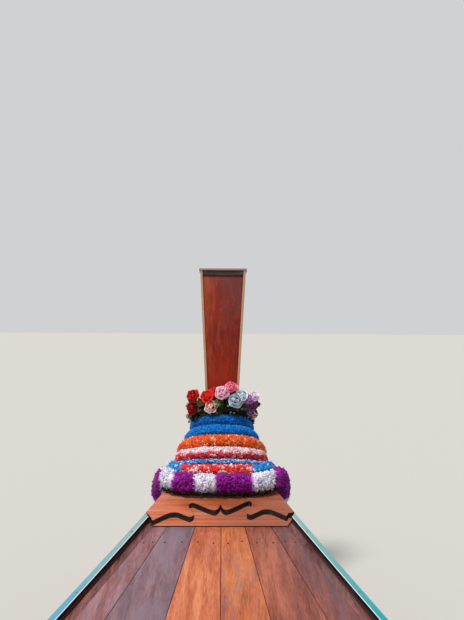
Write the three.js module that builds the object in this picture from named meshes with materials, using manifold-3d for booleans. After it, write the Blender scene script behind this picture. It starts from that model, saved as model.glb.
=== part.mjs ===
// Longtail boat: planked wooden hull with a varnished foredeck, an upright prow board hung with
// garlands, an open passenger well under a cloth canopy, and an engine that swivels and tilts on
// the stern with its propeller at the end of a long shaft.
// Millimetres, +Y towards the bow, +X starboard, +Z up, z = 0 at the waterline.

import * as THREE from 'three';
import { mergeVertices } from 'three/addons/utils/BufferGeometryUtils.js';
import Module from 'manifold-3d';

const wasm = await Module();
wasm.setup();

// Driving dimensions
const GAP = 0.3;                 // between pieces that touch
const TRANSOM_Y = -4700;
const STEM_Y = 4400;             // where the planks meet the stem at the sheer
const PLANK = 22;
const STRAKES = 4;
const STRAKE_NAMES = ['garboard', 'bilge', 'side', 'sheer'];
const STRAKE_EDGES = [0, 0.30, 0.54, 0.77, 1];
const STRAKE_STEPS = 3;          // facets across one strake
const STATION_STEP = 450;        // spacing of hull stations, and of the ribs that stand on them
const BUTT_Y = -1325;            // where the side strake's two lengths meet

const KEEL_HALF = 50;
const KEEL_DEPTH = 70;
const STEM_DEPTH = 130;
const STEM_EDGE_HALF = 22;

const RAIL_OUT = 8;              // the rail's overhang outside the sheer strake
const RUB_OUT = 22;              // the rub rail's, further down
const RAIL_WIDTH = 30;
const RAIL_TOP = 27;             // above the sheer
const WATERWAY_WIDTH = 35;
const WATERWAY_TOP = 4;
const WATERWAY_THICK = 10;
const DECK_TOP = 8;
const DECK_THICK = 22;
const DECK_AFT_Y = 1950;
const BOARD_AFT_Y = 3340;
const BOARD_TOP = 29;
const LEDGE_TOP = 11.5;          // the cover board's lower layer, aft of its fretted edge
const BOARD_CORNER_Y = 3420;
const BOARD_FORE_Y = 4170;

const FLOOR_TOP = 50;
const THWART_TOP = 430;
const THWART_THICK = 30;

const PROW_LEAN = THREE.MathUtils.degToRad(12);
const PROW_Y = 4190;             // inboard face of the prow board at its foot
const PROW_TOP_Z = 2185;
const PROW_THICK = 46;
const PROW_FOOT_HALF = 88;
const PROW_TOP_HALF = 155;

const CANOPY_FORE_Y = 950;
const CANOPY_AFT_Y = -2950;
const CANOPY_HALF = 900;
const CANOPY_EAVE_Z = 1960;
const CANOPY_RISE = 280;

const PIVOT_Y = -4450;           // the engine's trunnion
const PIVOT_Z = 1050;
const TAIL_LENGTH = 3880;

// Hull lines, one row a station: where the sheer stands, its half-breadth, the bilge's control
// point and the keel line. Forward of amidships the stations fan out to meet the raked stem.
//   sheerY  sheerX  bilgeX  bilgeY  bilgeZ   keelX  keelY  keelZ
const HULL_LINES = [
  [-4700, 620, 610, -4700, -165, 8, -4700, -180],
  [-3600, 830, 830, -3600, -275, 8, -3600, -290],
  [-2000, 1020, 1030, -2000, -312, 8, -2000, -330],
  [0, 1060, 1080, 0, -310, 8, 0, -330],
  [1450, 905, 860, 1400, -300, 10, 1350, -330],
  [2350, 683, 540, 2150, -270, 16, 1950, -325],
  [3050, 456, 290, 2760, -215, 26, 2380, -312],
  [3600, 278, 150, 3260, -190, 36, 2620, -296],
  [4000, 155, 82, 3630, -190, 44, 2750, -282],
  [4400, 50, 50, 3980, -220, 50, 2850, -270],
];
const lines = new THREE.CubicInterpolant(
  HULL_LINES.map((row) => row[0]), HULL_LINES.flatMap((row) => row.slice(1)), 7);

const MATERIALS = {
  deck: { color: 0xa85a35, roughness: 0.45 },
  deckGrey: { color: 0x8a665c, roughness: 0.5 },
  board: { color: 0xc26a3a, roughness: 0.4 },
  darkWood: { color: 0x3d241c, roughness: 0.55 },
  prow: { color: 0x7a2c1e, roughness: 0.35 },
  cream: { color: 0xd8c6a0, roughness: 0.5 },
  railPort: { color: 0xc6dfe0, roughness: 0.5 },
  railStarboard: { color: 0x57b7b0, roughness: 0.5 },
  rub: { color: 0xb5652f, roughness: 0.45 },
  topsides: { color: 0x2b8a7c, roughness: 0.45 },
  bottom: { color: 0x6e2b22, roughness: 0.7 },
  inside: { color: 0x3a7fa8, roughness: 0.6 },
  seat: { color: 0xd9b3a4, roughness: 0.55 },
  floor: { color: 0x9a7a5c, roughness: 0.7 },
  canvas: { color: 0x35a9d0, roughness: 0.8 },
  iron: { color: 0x55585c, roughness: 0.5, metalness: 0.8 },
  engine: { color: 0x3c6b57, roughness: 0.45, metalness: 0.4 },
  rust: { color: 0x7c4a30, roughness: 0.8, metalness: 0.4 },
  bronze: { color: 0xb08a4a, roughness: 0.35, metalness: 0.9 },
};

// Solids from rings of points

function fromArrays(points, triangles) {
  const geometry = new THREE.BufferGeometry();
  const place = points.flatMap((p) => [p.x, p.y, p.z]);
  geometry.setAttribute('position', new THREE.Float32BufferAttribute(place, 3));
  geometry.setIndex(triangles);
  return geometry;
}

function signedVolume(points, triangles) {
  let volume = 0;
  for (let i = 0; i < triangles.length; i += 3) {
    const [a, b, c] = [0, 1, 2].map((k) => points[triangles[i + k]]);
    volume += a.dot(new THREE.Vector3().crossVectors(b, c));
  }
  return volume;
}

// A closed solid through rings of equal length. Its ends are flat fans, so end rings are convex.
function loft(rings) {
  const count = rings[0].length;
  const points = rings.flat();
  const triangles = [];
  for (let r = 0; r + 1 < rings.length; r += 1) {
    for (let k = 0; k < count; k += 1) {
      const a = r * count + k;
      const b = r * count + ((k + 1) % count);
      // the shorter diagonal, so that two pieces that share a face fold it the same way
      if (points[b].distanceTo(points[a + count]) < points[a].distanceTo(points[b + count])) {
        triangles.push(a, b, a + count, b, b + count, a + count);
      } else {
        triangles.push(a, b, b + count, a, b + count, a + count);
      }
    }
  }
  const last = (rings.length - 1) * count;
  for (let k = 1; k + 1 < count; k += 1) {
    triangles.push(0, k + 1, k);
    triangles.push(last, last + k, last + k + 1);
  }
  if (signedVolume(points, triangles) < 0) triangles.reverse();
  return fromArrays(points, triangles);
}

const v = (x, y, z) => new THREE.Vector3(x, y, z);
const flipX = (point) => v(-point.x, point.y, point.z);

function mirrored(geometry) {
  const copy = geometry.clone();
  copy.scale(-1, 1, 1);
  copy.index.array.reverse();
  return copy;
}

function rod(a, b, radius, endRadius = radius, sides = 16) {
  const along = b.clone().sub(a);
  const turn = new THREE.Quaternion().setFromUnitVectors(v(0, 1, 0), along.clone().normalize());
  const geometry = new THREE.CylinderGeometry(endRadius, radius, along.length(), sides);
  geometry.applyQuaternion(turn);
  geometry.translate(...a.clone().add(b).multiplyScalar(0.5).toArray());
  return geometry;
}

function box(low, high) {
  const size = high.clone().sub(low);
  const geometry = new THREE.BoxGeometry(size.x, size.y, size.z);
  geometry.translate(...low.clone().add(high).multiplyScalar(0.5).toArray());
  return geometry;
}

function tubeAlong(points, radius, sides = 10, steps = 24) {
  const shape = new THREE.Shape();
  shape.absarc(0, 0, radius, 0, Math.PI * 2);
  const path = new THREE.CatmullRomCurve3(points);
  return new THREE.ExtrudeGeometry(shape,
    { steps, curveSegments: sides / 2, bevelEnabled: false, extrudePath: path });
}

function solid(geometry) {
  const bare = geometry.clone();
  bare.deleteAttribute('normal');
  bare.deleteAttribute('uv');
  const merged = mergeVertices(bare, 1e-4);
  return new wasm.Manifold(new wasm.Mesh({
    numProp: 3,
    vertProperties: new Float32Array(merged.attributes.position.array),
    triVerts: new Uint32Array(merged.index.array),
  }));
}

function geometryOf(manifold) {
  const mesh = manifold.getMesh();
  const geometry = new THREE.BufferGeometry();
  geometry.setAttribute('position', new THREE.BufferAttribute(mesh.vertProperties, 3));
  geometry.setIndex(new THREE.BufferAttribute(mesh.triVerts, 1));
  return geometry;
}

const join = (...pieces) => geometryOf(pieces.map(solid).reduce((a, b) => a.add(b)));
const cut = (piece, ...tools) => geometryOf(
  tools.map(solid).reduce((left, tool) => left.subtract(tool), solid(piece)));

// The hull's surface: half-breadth positive, y along the sheer, t from keel (0) to sheer (1)

const STATIONS = [];
for (let y = TRANSOM_Y; y < STEM_Y - STATION_STEP / 2; y += STATION_STEP) STATIONS.push(y);
STATIONS.push(4240, STEM_Y);
const stationsBetween = (from, to) => [from, ...STATIONS.filter((y) => y > from + 1 && y < to - 1), to];

// A value that is exact at the stations and runs straight between them, as the planks do
function between(y, value) {
  const i = Math.max(1, STATIONS.findIndex((station) => station >= y));
  const [a, b] = [STATIONS[i - 1], STATIONS[i]];
  return THREE.MathUtils.lerp(value(a), value(b), (y - a) / (b - a));
}

const sheerCurve = (y) => 600 + 0.06 * y + 1.15e-5 * y * y;
const sheerZ = (y) => between(Math.min(y, STEM_Y), sheerCurve);

function hullLine(y) {
  const [sheerX, bilgeX, bilgeY, bilgeZ, keelX, keelY, keelZ] = lines.evaluate(y);
  return {
    keel: v(keelX, keelY, keelZ), bilge: v(bilgeX, bilgeY, bilgeZ), sheer: v(sheerX, y, sheerCurve(y)),
  };
}
const sheerX = (y) => between(Math.min(y, STEM_Y), (station) => hullLine(station).sheer.x);

function hullPoint(y, t) {
  const { keel, bilge, sheer } = hullLine(y);
  return new THREE.QuadraticBezierCurve3(keel, bilge, sheer).getPoint(t);
}

// A point of the hull moved inwards from the planks' outer face by a depth
function hullInside(y, t, depth) {
  const dy = y < STEM_Y - 1 ? 1 : -1;
  const dt = t < 0.999 ? 0.001 : -0.001;
  const here = hullPoint(y, t);
  const along = hullPoint(y + dy, t).sub(here).multiplyScalar(dy);
  const up = hullPoint(y, t + dt).sub(here).multiplyScalar(Math.sign(dt));
  const out = new THREE.Vector3().crossVectors(along, up).normalize();
  // the top edge is cut level for the rail
  return t === 1 ? v(here.x - depth / out.x, here.y, here.z) : here.addScaledVector(out, -depth);
}

function girthAt(y, z) {
  let [low, high] = [0, 1];
  for (let i = 0; i < 40; i += 1) {
    const middle = (low + high) / 2;
    if (hullPoint(y, middle).z < z) low = middle;
    else high = middle;
  }
  return (low + high) / 2;
}

const GIRTHS = [...STRAKE_NAMES.flatMap((_, i) => Array.from({ length: STRAKE_STEPS },
  (__, k) => THREE.MathUtils.lerp(STRAKE_EDGES[i], STRAKE_EDGES[i + 1], k / STRAKE_STEPS))), 1];

// The same inward point on the planks as they are faceted, between stations and girths
function onPlanks(y, t, depth) {
  const i = Math.max(1, STATIONS.findIndex((station) => station >= y));
  const k = Math.max(1, GIRTHS.findIndex((girth) => girth >= t));
  const along = (y - STATIONS[i - 1]) / (STATIONS[i] - STATIONS[i - 1]);
  const up = (t - GIRTHS[k - 1]) / (GIRTHS[k] - GIRTHS[k - 1]);
  const row = (station) => hullInside(station, GIRTHS[k - 1], depth)
    .lerp(hullInside(station, GIRTHS[k], depth), up);
  return row(STATIONS[i - 1]).lerp(row(STATIONS[i]), along);
}

// A strake between two places along the hull. An end that isn't at a station is cut square.
function strake(index, from = STATIONS[0], to = STATIONS.at(-1)) {
  const seam = 0.0003;
  const girths = GIRTHS.slice(index * STRAKE_STEPS, (index + 1) * STRAKE_STEPS + 1);
  if (index > 0) girths[0] += seam;
  if (index + 1 < STRAKES) girths[STRAKE_STEPS] -= seam;
  const section = (y) => [
    ...girths.map((t) => hullPoint(y, t)),
    ...girths.toReversed().map((t) => hullInside(y, t, PLANK)),
  ];
  return loft(stationsBetween(from, to).map((y) => {
    const i = Math.max(1, STATIONS.findIndex((station) => station >= y));
    const along = (y - STATIONS[i - 1]) / (STATIONS[i] - STATIONS[i - 1]);
    const fore = section(STATIONS[i]);
    const ring = section(STATIONS[i - 1]).map((point, k) => point.lerp(fore[k], along));
    return STATIONS.includes(y) ? ring : ring.map((point) => point.setY(y));
  }));
}

// A strip that follows the sheer. Offsets are in from the sheer strake's outer face and up.
// With a mitre, the fore end is cut to the slant of the cover board's aft corners.
function sheerStrip({ from, to, outer, inner, bottom, top, mitre = false }) {
  const corner = (offset, height, y) => v(sheerX(y) - offset, y, sheerZ(y) + height);
  const ys = stationsBetween(from, mitre ? BOARD_AFT_Y - 2 : to);
  if (mitre) ys[ys.length - 1] = to;
  return loft(ys.map((y) => {
    const [innerY, outerY] = mitre && y === to ? [mitreY(inner), mitreY(outer)] : [y, y];
    return [corner(inner, bottom, innerY), corner(outer, bottom, outerY),
      corner(outer, top, outerY), corner(inner, top, innerY)];
  }));
}
const DECK_EDGE = RAIL_WIDTH - RAIL_OUT + 5 + WATERWAY_WIDTH;    // in from the sheer strake's face
const mitreY = (offset) => THREE.MathUtils.mapLinear(
  offset, DECK_EDGE, 1 - RAIL_OUT, BOARD_AFT_Y, BOARD_CORNER_Y) - 1.2;

// Backbone

function keel() {
  return loft(STATIONS.map((station, i) => {
    const { y, z } = hullLine(station).keel;
    const end = i === STATIONS.length - 1 ? y - GAP : y;
    return [v(-KEEL_HALF, end, z - KEEL_DEPTH), v(KEEL_HALF, end, z - KEEL_DEPTH),
      v(KEEL_HALF, end, z - 2 * GAP), v(-KEEL_HALF, end, z - 2 * GAP)];
  }));
}

// The stem's side view: up the planks' ends, back to the prow board above the sheer, up to the
// stem head, and down the leading edge.
function stem() {
  const { keel: foot, bilge, sheer } = hullLine(STEM_Y);
  const line = new THREE.QuadraticBezierCurve3(foot, bilge, sheer);
  const aft = [];
  const fore = [];
  for (const [i, t] of GIRTHS.entries()) {
    const tangent = line.getTangent(t);
    const depth = THREE.MathUtils.lerp(KEEL_DEPTH, STEM_DEPTH, t);
    const p = line.getPoint(t);
    const seat = (t < STRAKE_EDGES[1] ? 17 : 3) * GAP;
    aft.push([p.y + tangent.z * seat + (i === 0 ? GAP : 0), p.z - tangent.y * seat]);
    fore.push([p.y + tangent.z * depth + (i === 0 ? GAP : 0), p.z - tangent.y * depth]);
  }
  const headZ = PROW_TOP_Z - 130;
  const back = PROW_Y + PROW_THICK / Math.cos(PROW_LEAN) + GAP;
  const backY = (z) => back + (z - prowFootZ) * Math.tan(PROW_LEAN);
  const stepZ = sheer.z + 2;
  const headDepth = 150;
  const outline = [
    ...aft.slice(0, -1),
    [aft.at(-1)[0], stepZ], [backY(stepZ), stepZ],
    [backY(headZ), headZ], [backY(headZ) + headDepth, headZ + 20],
    ...fore.toReversed(),
  ];
  const shape = new THREE.Shape(outline.map(([y, z]) => new THREE.Vector2(y, z)));
  const geometry = new THREE.ExtrudeGeometry(shape, { depth: 2, steps: 1, bevelEnabled: false });
  const edge = new Set([...fore, [backY(headZ) + headDepth, headZ + 20]]
    .map(([y, z]) => `${y.toFixed(1)},${z.toFixed(1)}`));
  const place = geometry.attributes.position;
  for (let i = 0; i < place.count; i += 1) {
    const [y, z, side] = [place.getX(i), place.getY(i), place.getZ(i) > 1 ? 1 : -1];
    const half = edge.has(`${y.toFixed(1)},${z.toFixed(1)}`) ? STEM_EDGE_HALF : KEEL_HALF - 1;
    place.setXYZ(i, side * half, y, z);
  }
  return geometry;
}

function transom() {
  const half = GIRTHS.map((t) => hullPoint(TRANSOM_Y, t));
  const outline = [...half, ...half.toReversed().map(flipX)];
  const thick = 30;
  return loft([TRANSOM_Y - GAP, TRANSOM_Y - thick].map((y) => outline.map((p) => v(p.x, y, p.z))));
}

// Foredeck

const plankEdge = (fraction) => (y) => fraction * (sheerX(y) - DECK_EDGE);
const DECK_SEAMS = [-1, -0.785, -0.37, 0.015, 0.365, 0.76, 1];

function deckPlank(index) {
  const left = plankEdge(DECK_SEAMS[index]);
  const right = plankEdge(DECK_SEAMS[index + 1]);
  return loft(stationsBetween(DECK_AFT_Y, BOARD_AFT_Y - 1).map((y) => {
    const z = sheerZ(y);
    const [a, b] = [left(y) + 0.8, right(y) - 0.8];
    return [v(a, y, z + DECK_TOP - DECK_THICK), v(b, y, z + DECK_TOP - DECK_THICK),
      v(b, y, z + DECK_TOP), v(a, y, z + DECK_TOP)];
  }));
}

// Fretted edge of the cover board's upper layer in plan, its starboard half from the centre out.
// A spike, a bracket with a hooked end, and a wave: x, y
const FRET_SPIKE = [0, 3487];
const FRET_BRACKET = [
  [9, 3452], [24, 3437], [48, 3446], [98, 3484], [123, 3504], [140, 3508], [150, 3492], [148, 3470],
];
const FRET_WAVE = [
  [121, 3404], [133, 3391], [150, 3395], [192, 3426], [215, 3431], [240, 3424], [284, 3386],
  [302, 3371], [312, 3394],
];
const FRET_SKEW = 0.06;            // the fretwork sits a little askew: further forward to starboard

function smoothLine(points) {
  const curve = new THREE.SplineCurve(points.map(([x, y]) => new THREE.Vector2(x, y)));
  return curve.getPoints(2 * points.length).map((p) => [p.x, p.y]);
}

function prism(points, low, high) {
  const geometry = new THREE.ExtrudeGeometry(new THREE.Shape(points),
    { depth: high - low, steps: 1, bevelEnabled: false });
  geometry.translate(0, 0, low);
  return geometry;
}

// Lays a flat piece on the sheer's rise
function drape(geometry) {
  const place = geometry.attributes.position;
  for (let i = 0; i < place.count; i += 1) {
    place.setZ(i, place.getZ(i) + sheerZ(place.getY(i)));
  }
  return geometry;
}

// Two layers: the lower one ends square at the deck planks, the upper one in the fretted edge
function coverBoard() {
  const sides = stationsBetween(BOARD_CORNER_Y, BOARD_FORE_Y).map((y) => [sheerX(y) + RAIL_OUT - 1, y]);
  const lower = [[sheerX(BOARD_AFT_Y) - DECK_EDGE, BOARD_AFT_Y], ...sides];
  const fret = [...smoothLine(FRET_BRACKET), ...smoothLine(FRET_WAVE)];
  const mirrored = (points) => points.toReversed().map(([x, y]) => [-x, y]);
  const skewed = (points) => points.map(([x, y]) => [x, y + FRET_SKEW * x]);
  const upper = [FRET_SPIKE, ...skewed(fret), ...sides, ...mirrored(sides), ...skewed(mirrored(fret))];
  const outline = (points) => points.map(([x, y]) => new THREE.Vector2(x, y));
  return drape(join(
    prism(outline([...lower, ...mirrored(lower)]), 3 * GAP, LEDGE_TOP),
    prism(outline(upper), LEDGE_TOP / 2, BOARD_TOP)));
}

function foredeckFrame() {
  const beams = [DECK_AFT_Y + 30, 2380, 2830, BOARD_AFT_Y + 20].map((y) => {
    const half = sheerX(y) - PLANK - RIB_DEPTH - 26;
    const top = sheerZ(y - 28) + DECK_TOP - DECK_THICK - 2 * GAP;
    return box(v(-half, y - 28, top - 70), v(half, y + 28, top));
  });
  const carlin = loft(stationsBetween(DECK_AFT_Y + 10, 3900).map((y) => {
    const top = sheerZ(y) + DECK_TOP - DECK_THICK - 2 * GAP;
    return [v(-30, y, top - 50), v(30, y, top - 50), v(30, y, top), v(-30, y, top)];
  }));
  return join(...beams, carlin);
}

function foredeckFascia() {
  const y = DECK_AFT_Y - GAP;
  const half = sheerX(y - 22) - PLANK - 28;
  const top = sheerZ(y - 22) + DECK_TOP;
  const lobes = 6;
  const points = [new THREE.Vector2(half, top), new THREE.Vector2(-half, top)];
  for (let i = 0; i <= lobes * 6; i += 1) {
    const x = THREE.MathUtils.lerp(-half, half, i / (lobes * 6));
    const swing = Math.abs(Math.sin((i / 6) * Math.PI));
    const shoulder = Math.max(0, Math.abs(x) / half - 0.8) * 120;
    points.push(new THREE.Vector2(x, top - 110 - 30 * swing - shoulder * 0.3));
  }
  const geometry = new THREE.ExtrudeGeometry(new THREE.Shape(points),
    { depth: 22, steps: 1, bevelEnabled: false });
  geometry.rotateX(Math.PI / 2);
  geometry.translate(0, y, 0);
  return geometry;
}

// Prow board, with a raised trim strip on each edge and a cap

const prowFootZ = sheerZ(PROW_Y) + BOARD_TOP + 3;
const prowHeight = (PROW_TOP_Z - prowFootZ) / Math.cos(PROW_LEAN);
const TRIM_WIDTH = 15;
const TRIM_PROUD = 8;
const CAP_THICK = 14;
const CAP_OUT = 6;

function prowBoard() {
  const rise = (f, half, y0, y1) => [v(-half, y0, f * prowHeight), v(half, y0, f * prowHeight),
    v(half, y1, f * prowHeight), v(-half, y1, f * prowHeight)];
  const rings = [0, 0.25, 0.5, 0.75, 1].map((f) => rise(f, prowHalf(f), 0, PROW_THICK));
  return loft(rings);
}
const prowHalf = (f) => THREE.MathUtils.lerp(PROW_FOOT_HALF, PROW_TOP_HALF, f);

// A raised strip up each edge of the board's aft face, and the cap that joins them
function prowTrim() {
  const strips = [1, -1].map((side) => loft([0, 1].map((f) => {
    const outer = side * prowHalf(f);
    const inner = outer - side * TRIM_WIDTH;
    const z = f * (prowHeight + CAP_THICK / 2);
    return [v(inner, -TRIM_PROUD, z), v(outer, -TRIM_PROUD, z), v(outer, -GAP, z), v(inner, -GAP, z)];
  })));
  const half = PROW_TOP_HALF + CAP_OUT;
  const cap = box(v(-half, -TRIM_PROUD - CAP_OUT, prowHeight + GAP),
    v(half, PROW_THICK + CAP_OUT, prowHeight + CAP_THICK));
  return join(...strips, cap);
}

function onProw(mesh) {
  const group = new THREE.Group();
  group.position.set(0, PROW_Y, prowFootZ);
  group.rotation.x = -PROW_LEAN;
  group.add(mesh);
  return group;
}

// Garlands: closed loops laid round the prow, sloping down towards its front. Each row has the
// place of the loop's aft point, its half-width, how far forward it reaches, its thickness and how
// square its aft corners are: 1 is an ellipse, and less is squarer.
const GARLAND_SLOPE = 0.6;
const GARLAND_TAPER = 0.5;         // how much narrower a loop is at its front
const FRONT_SQUARENESS = 0.7;
//   name  aftY  halfWidth  foreY  radius  raised  squareness
const GARLANDS = [
  ['garland_base', 3580, 337, 4500, 50, 0, 0.48],
  ['garland_red_white', 3700, 300, 4515, 39, -14.5, 0.52],
  ['garland_light_blue', 3752, 275, 4528, 14, 6.4, 0.56],
  ['garland_pink', 3826, 252, 4540, 40, -1.5, 0.62],
  ['garland_orange', 3948, 240, 4555, 48, -4.5, 0.68],
  ['garland_blue', 4048, 206, 4568, 42, -7.6, 0.7],
  ['garland_dark_blue', 4129, 172, 4582, 44, -10.4, 0.7],
  ['flower_wreath', 4156, 182, 4606, 46, -7.5, 0.7],
];
const BASE_AFT_Z = sheerCurve(3580) + BOARD_TOP + 50 + 3 * GAP;

// Height of each loop's aft point: parallel loops, one garland's thickness apart
function garlandHeights() {
  const tilt = Math.atan(GARLAND_SLOPE);
  const heights = [BASE_AFT_Z];
  for (let i = 1; i < GARLANDS.length; i += 1) {
    const [, lastY, , , lastRadius] = GARLANDS[i - 1];
    const [, aftY, , , radius, raised] = GARLANDS[i];
    const spacing = 1.03 * (lastRadius + radius);
    heights.push(heights[i - 1] + raised + (spacing - (aftY - lastY) * Math.sin(tilt)) / Math.cos(tilt));
  }
  return heights;
}
const GARLAND_Z = garlandHeights();

// Corners of the hull's edge in section that a garland bends over: out from the sheer, and up
const EDGE_CORNERS = [[RAIL_OUT, BOARD_TOP], [RUB_OUT, -45], [RUB_OUT, -90]];
const GARLAND_POINTS = 240;
const POINT_SPREAD = 0.2;          // moves points from a loop's corners to its straight stretches
const GARLAND_SEGMENTS = 60;
const GARLAND_PRESSED = 0.984;     // flat sides let two garlands lie closer than their radii
const BEND_ROOM = 4;
const GARLAND_CLEAR = 3 * GAP;

// Lowest height at which a garland of that radius clears the hull's edge. It keeps a little more
// room round the corners, where its straight segments cut across the bend.
function overEdge(x, y, radius) {
  let height = -Infinity;
  if (y > STEM_Y) return height;
  for (const [out, up] of EDGE_CORNERS) {
    const beyond = Math.max(0, x - sheerX(y) - out);
    const reach = radius + BEND_ROOM * Math.min(1, beyond / (radius / 3));
    if (beyond < reach) {
      height = Math.max(height, sheerZ(y) + up + Math.sqrt(reach ** 2 - beyond ** 2));
    }
  }
  return height + GARLAND_CLEAR;
}

// Lowest height at which it clears a garland that was laid before it
function overLower(x, y, radius, lower) {
  let height = -Infinity;
  const reach = GARLAND_PRESSED * (radius + lower.radius) + GARLAND_CLEAR;
  for (const p of lower.points) {
    const away = Math.hypot(x - p.x, y - p.y);
    if (away < reach) height = Math.max(height, p.z + Math.sqrt(reach ** 2 - away ** 2));
  }
  return height;
}

// Centre lines, laid in order: each hangs in its own sloping plane and is held up where it
// crosses the hull's edge or meets a garland under it.
function layGarlands() {
  const laid = [];
  GARLANDS.forEach(([, aftY, halfWidth, foreY, radius, , squareness], index) => {
    const points = [];
    for (let i = 0; i < GARLAND_POINTS; i += 1) {
      const turn = (i / GARLAND_POINTS) * Math.PI * 2;
      const angle = turn - POINT_SPREAD * Math.sin(4 * turn);
      const power = Math.cos(angle) > 0 ? squareness : FRONT_SQUARENESS;
      const bow = (value) => Math.sign(value) * Math.abs(value) ** power;
      const forward = (1 - bow(Math.cos(angle))) / 2;
      const y = aftY + (foreY - aftY) * forward;
      const x = halfWidth * bow(Math.sin(angle)) * (1 - GARLAND_TAPER * forward ** 2);
      const z = Math.max(
        GARLAND_Z[index] - GARLAND_SLOPE * (y - aftY),
        overEdge(Math.abs(x), y, radius),
        ...laid.map((lower) => overLower(x, y, radius, lower)));
      points.push(v(x, y, z));
    }
    for (let pass = 0; pass < 16; pass += 1) {
      const heights = points.map((p) => p.z);
      points.forEach((p, i) => {
        const before = heights[(i + GARLAND_POINTS - 1) % GARLAND_POINTS];
        const after = heights[(i + 1) % GARLAND_POINTS];
        p.z = Math.max(p.z, (before + after) / 2);
      });
    }
    laid.push({ points, radius });
  });
  return laid;
}
const LAID = layGarlands();

function garland(index) {
  const path = new THREE.CatmullRomCurve3(LAID[index].points, true);
  return new THREE.TubeGeometry(path, GARLAND_SEGMENTS, LAID[index].radius, 8, true);
}

// Inside of the hull

const RIB_DEPTH = 34;
const RIB_HALF = 15;
const RIB_STATIONS = STATIONS.filter((y) => y > TRANSOM_Y + 100 && y < DECK_AFT_Y + 400);
const RISER_TOP = THWART_TOP - THWART_THICK - GAP;

function ribs() {
  const girths = [0.04, ...GIRTHS.slice(1, -1), 0.985];
  const away = PLANK + 3 * GAP;
  const pieces = RIB_STATIONS.map((y) => loft(girths.map((t) => [
    onPlanks(y - RIB_HALF, t, away), onPlanks(y + RIB_HALF, t, away),
    onPlanks(y + RIB_HALF, t, away + RIB_DEPTH), onPlanks(y - RIB_HALF, t, away + RIB_DEPTH),
  ])));
  const riser = loft([RIB_STATIONS[0] - RIB_HALF, ...RIB_STATIONS.slice(1, -1),
    RIB_STATIONS.at(-1) + RIB_HALF].map((y) => [RISER_TOP - 90, RISER_TOP].flatMap((z, i) => {
    const t = girthAt(y, z);
    const near = hullInside(y, t, away + RIB_DEPTH - 12);
    const far = hullInside(y, t, away + RIB_DEPTH + 24);
    near.z = z;
    far.z = z;
    return i === 0 ? [near, far] : [far, near];
  })));
  return join(...pieces, riser);
}

// Height of the planks' inner face at a half-breadth near the keel
function plankHeightAt(y, x) {
  let [low, high] = [0, 0.4];
  for (let i = 0; i < 30; i += 1) {
    const middle = (low + high) / 2;
    if (onPlanks(y, middle, PLANK).x < x) low = middle;
    else high = middle;
  }
  return onPlanks(y, high, PLANK).z;
}

function floorboards() {
  const boardWidth = 165;
  const boardGap = 8;
  const thick = 20;
  const count = 6;
  const aft = -3780;
  const fore = 1900;
  const pieces = [];
  for (let i = 0; i < count; i += 1) {
    const x = (i - (count - 1) / 2) * (boardWidth + boardGap);
    const end = Math.abs(x) > 350 ? fore - 500 : fore;
    const half = boardWidth / 2;
    pieces.push(box(v(x - half, aft, FLOOR_TOP - thick), v(x + half, end, FLOOR_TOP)));
  }
  const reach = count / 2 * (boardWidth + boardGap) - boardGap / 2;
  for (let k = 0; k < 7; k += 1) {
    const y = THREE.MathUtils.lerp(aft + 130, fore - 640, k / 6);
    pieces.push(box(v(-reach, y - 30, FLOOR_TOP - 50), v(reach, y + 30, FLOOR_TOP - thick + 2)));
    // a short pillar down to the garboards over the keel
    const half = 40;
    const seat = Math.max(...[y - 30, y + 30].map((end) => plankHeightAt(end, half))) + 2 * GAP;
    pieces.push(box(v(-half, y - 30, seat), v(half, y + 30, FLOOR_TOP - thick)));
  }
  return join(...pieces);
}

const THWART_STATIONS = [5, 7, 9, 11];
function thwart(index) {
  const y = (STATIONS[THWART_STATIONS[index]] + STATIONS[THWART_STATIONS[index] + 1]) / 2;
  const half = (z, at) => hullInside(at, girthAt(at, z), PLANK).x - 12;
  const low = THWART_TOP - THWART_THICK;
  const wide = 130;
  const ring = (at) => [v(-half(low, at), at, low), v(half(low, at), at, low),
    v(half(THWART_TOP, at) - 2, at, THWART_TOP), v(-half(THWART_TOP, at) + 2, at, THWART_TOP)];
  return loft([ring(y - wide), ring(y + wide)]);
}

function sternDeck() {
  const top = 12;
  const aft = TRANSOM_Y + GAP;
  const fore = -3900;
  const geometry = loft([aft, ...STATIONS.filter((y) => y > aft && y < fore), fore].map((y) => {
    const half = sheerX(y) - RAIL_WIDTH + RAIL_OUT - 6;
    const [low, high] = [sheerZ(y) + top - 24, sheerZ(y) + top];
    return [v(-half, y, low), v(half, y, low), v(half, y, high), v(-half, y, high)];
  }));
  const socket = rod(v(0, PIVOT_Y, 300), v(0, PIVOT_Y, 800), 66, 66, 20);
  return cut(geometry, socket);
}

// Canopy

const archZ = (x) => CANOPY_EAVE_Z + CANOPY_RISE * (1 - (x / CANOPY_HALF) ** 2);
const POST_YS = [900, -380, -1660, -2900];

function canopySide() {
  const halfPost = 20;
  const posts = POST_YS.map((y) => {
    const foot = sheerX(y) + RAIL_OUT - RAIL_WIDTH / 2;
    const corner = [[-1, -1], [1, -1], [1, 1], [-1, 1]];
    return loft([
      corner.map(([a, b]) => v(foot + a * 14, y + b * halfPost,
        sheerZ(y + b * halfPost) + RAIL_TOP + GAP)),
      corner.map(([a, b]) => v(CANOPY_HALF + a * halfPost, y + b * halfPost, CANOPY_EAVE_Z - 20)),
    ]);
  });
  const rail = box(v(CANOPY_HALF - 22, CANOPY_AFT_Y, CANOPY_EAVE_Z - 50),
    v(CANOPY_HALF + 22, CANOPY_FORE_Y, CANOPY_EAVE_Z - 2 * GAP));
  return join(...posts, rail);
}

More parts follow.
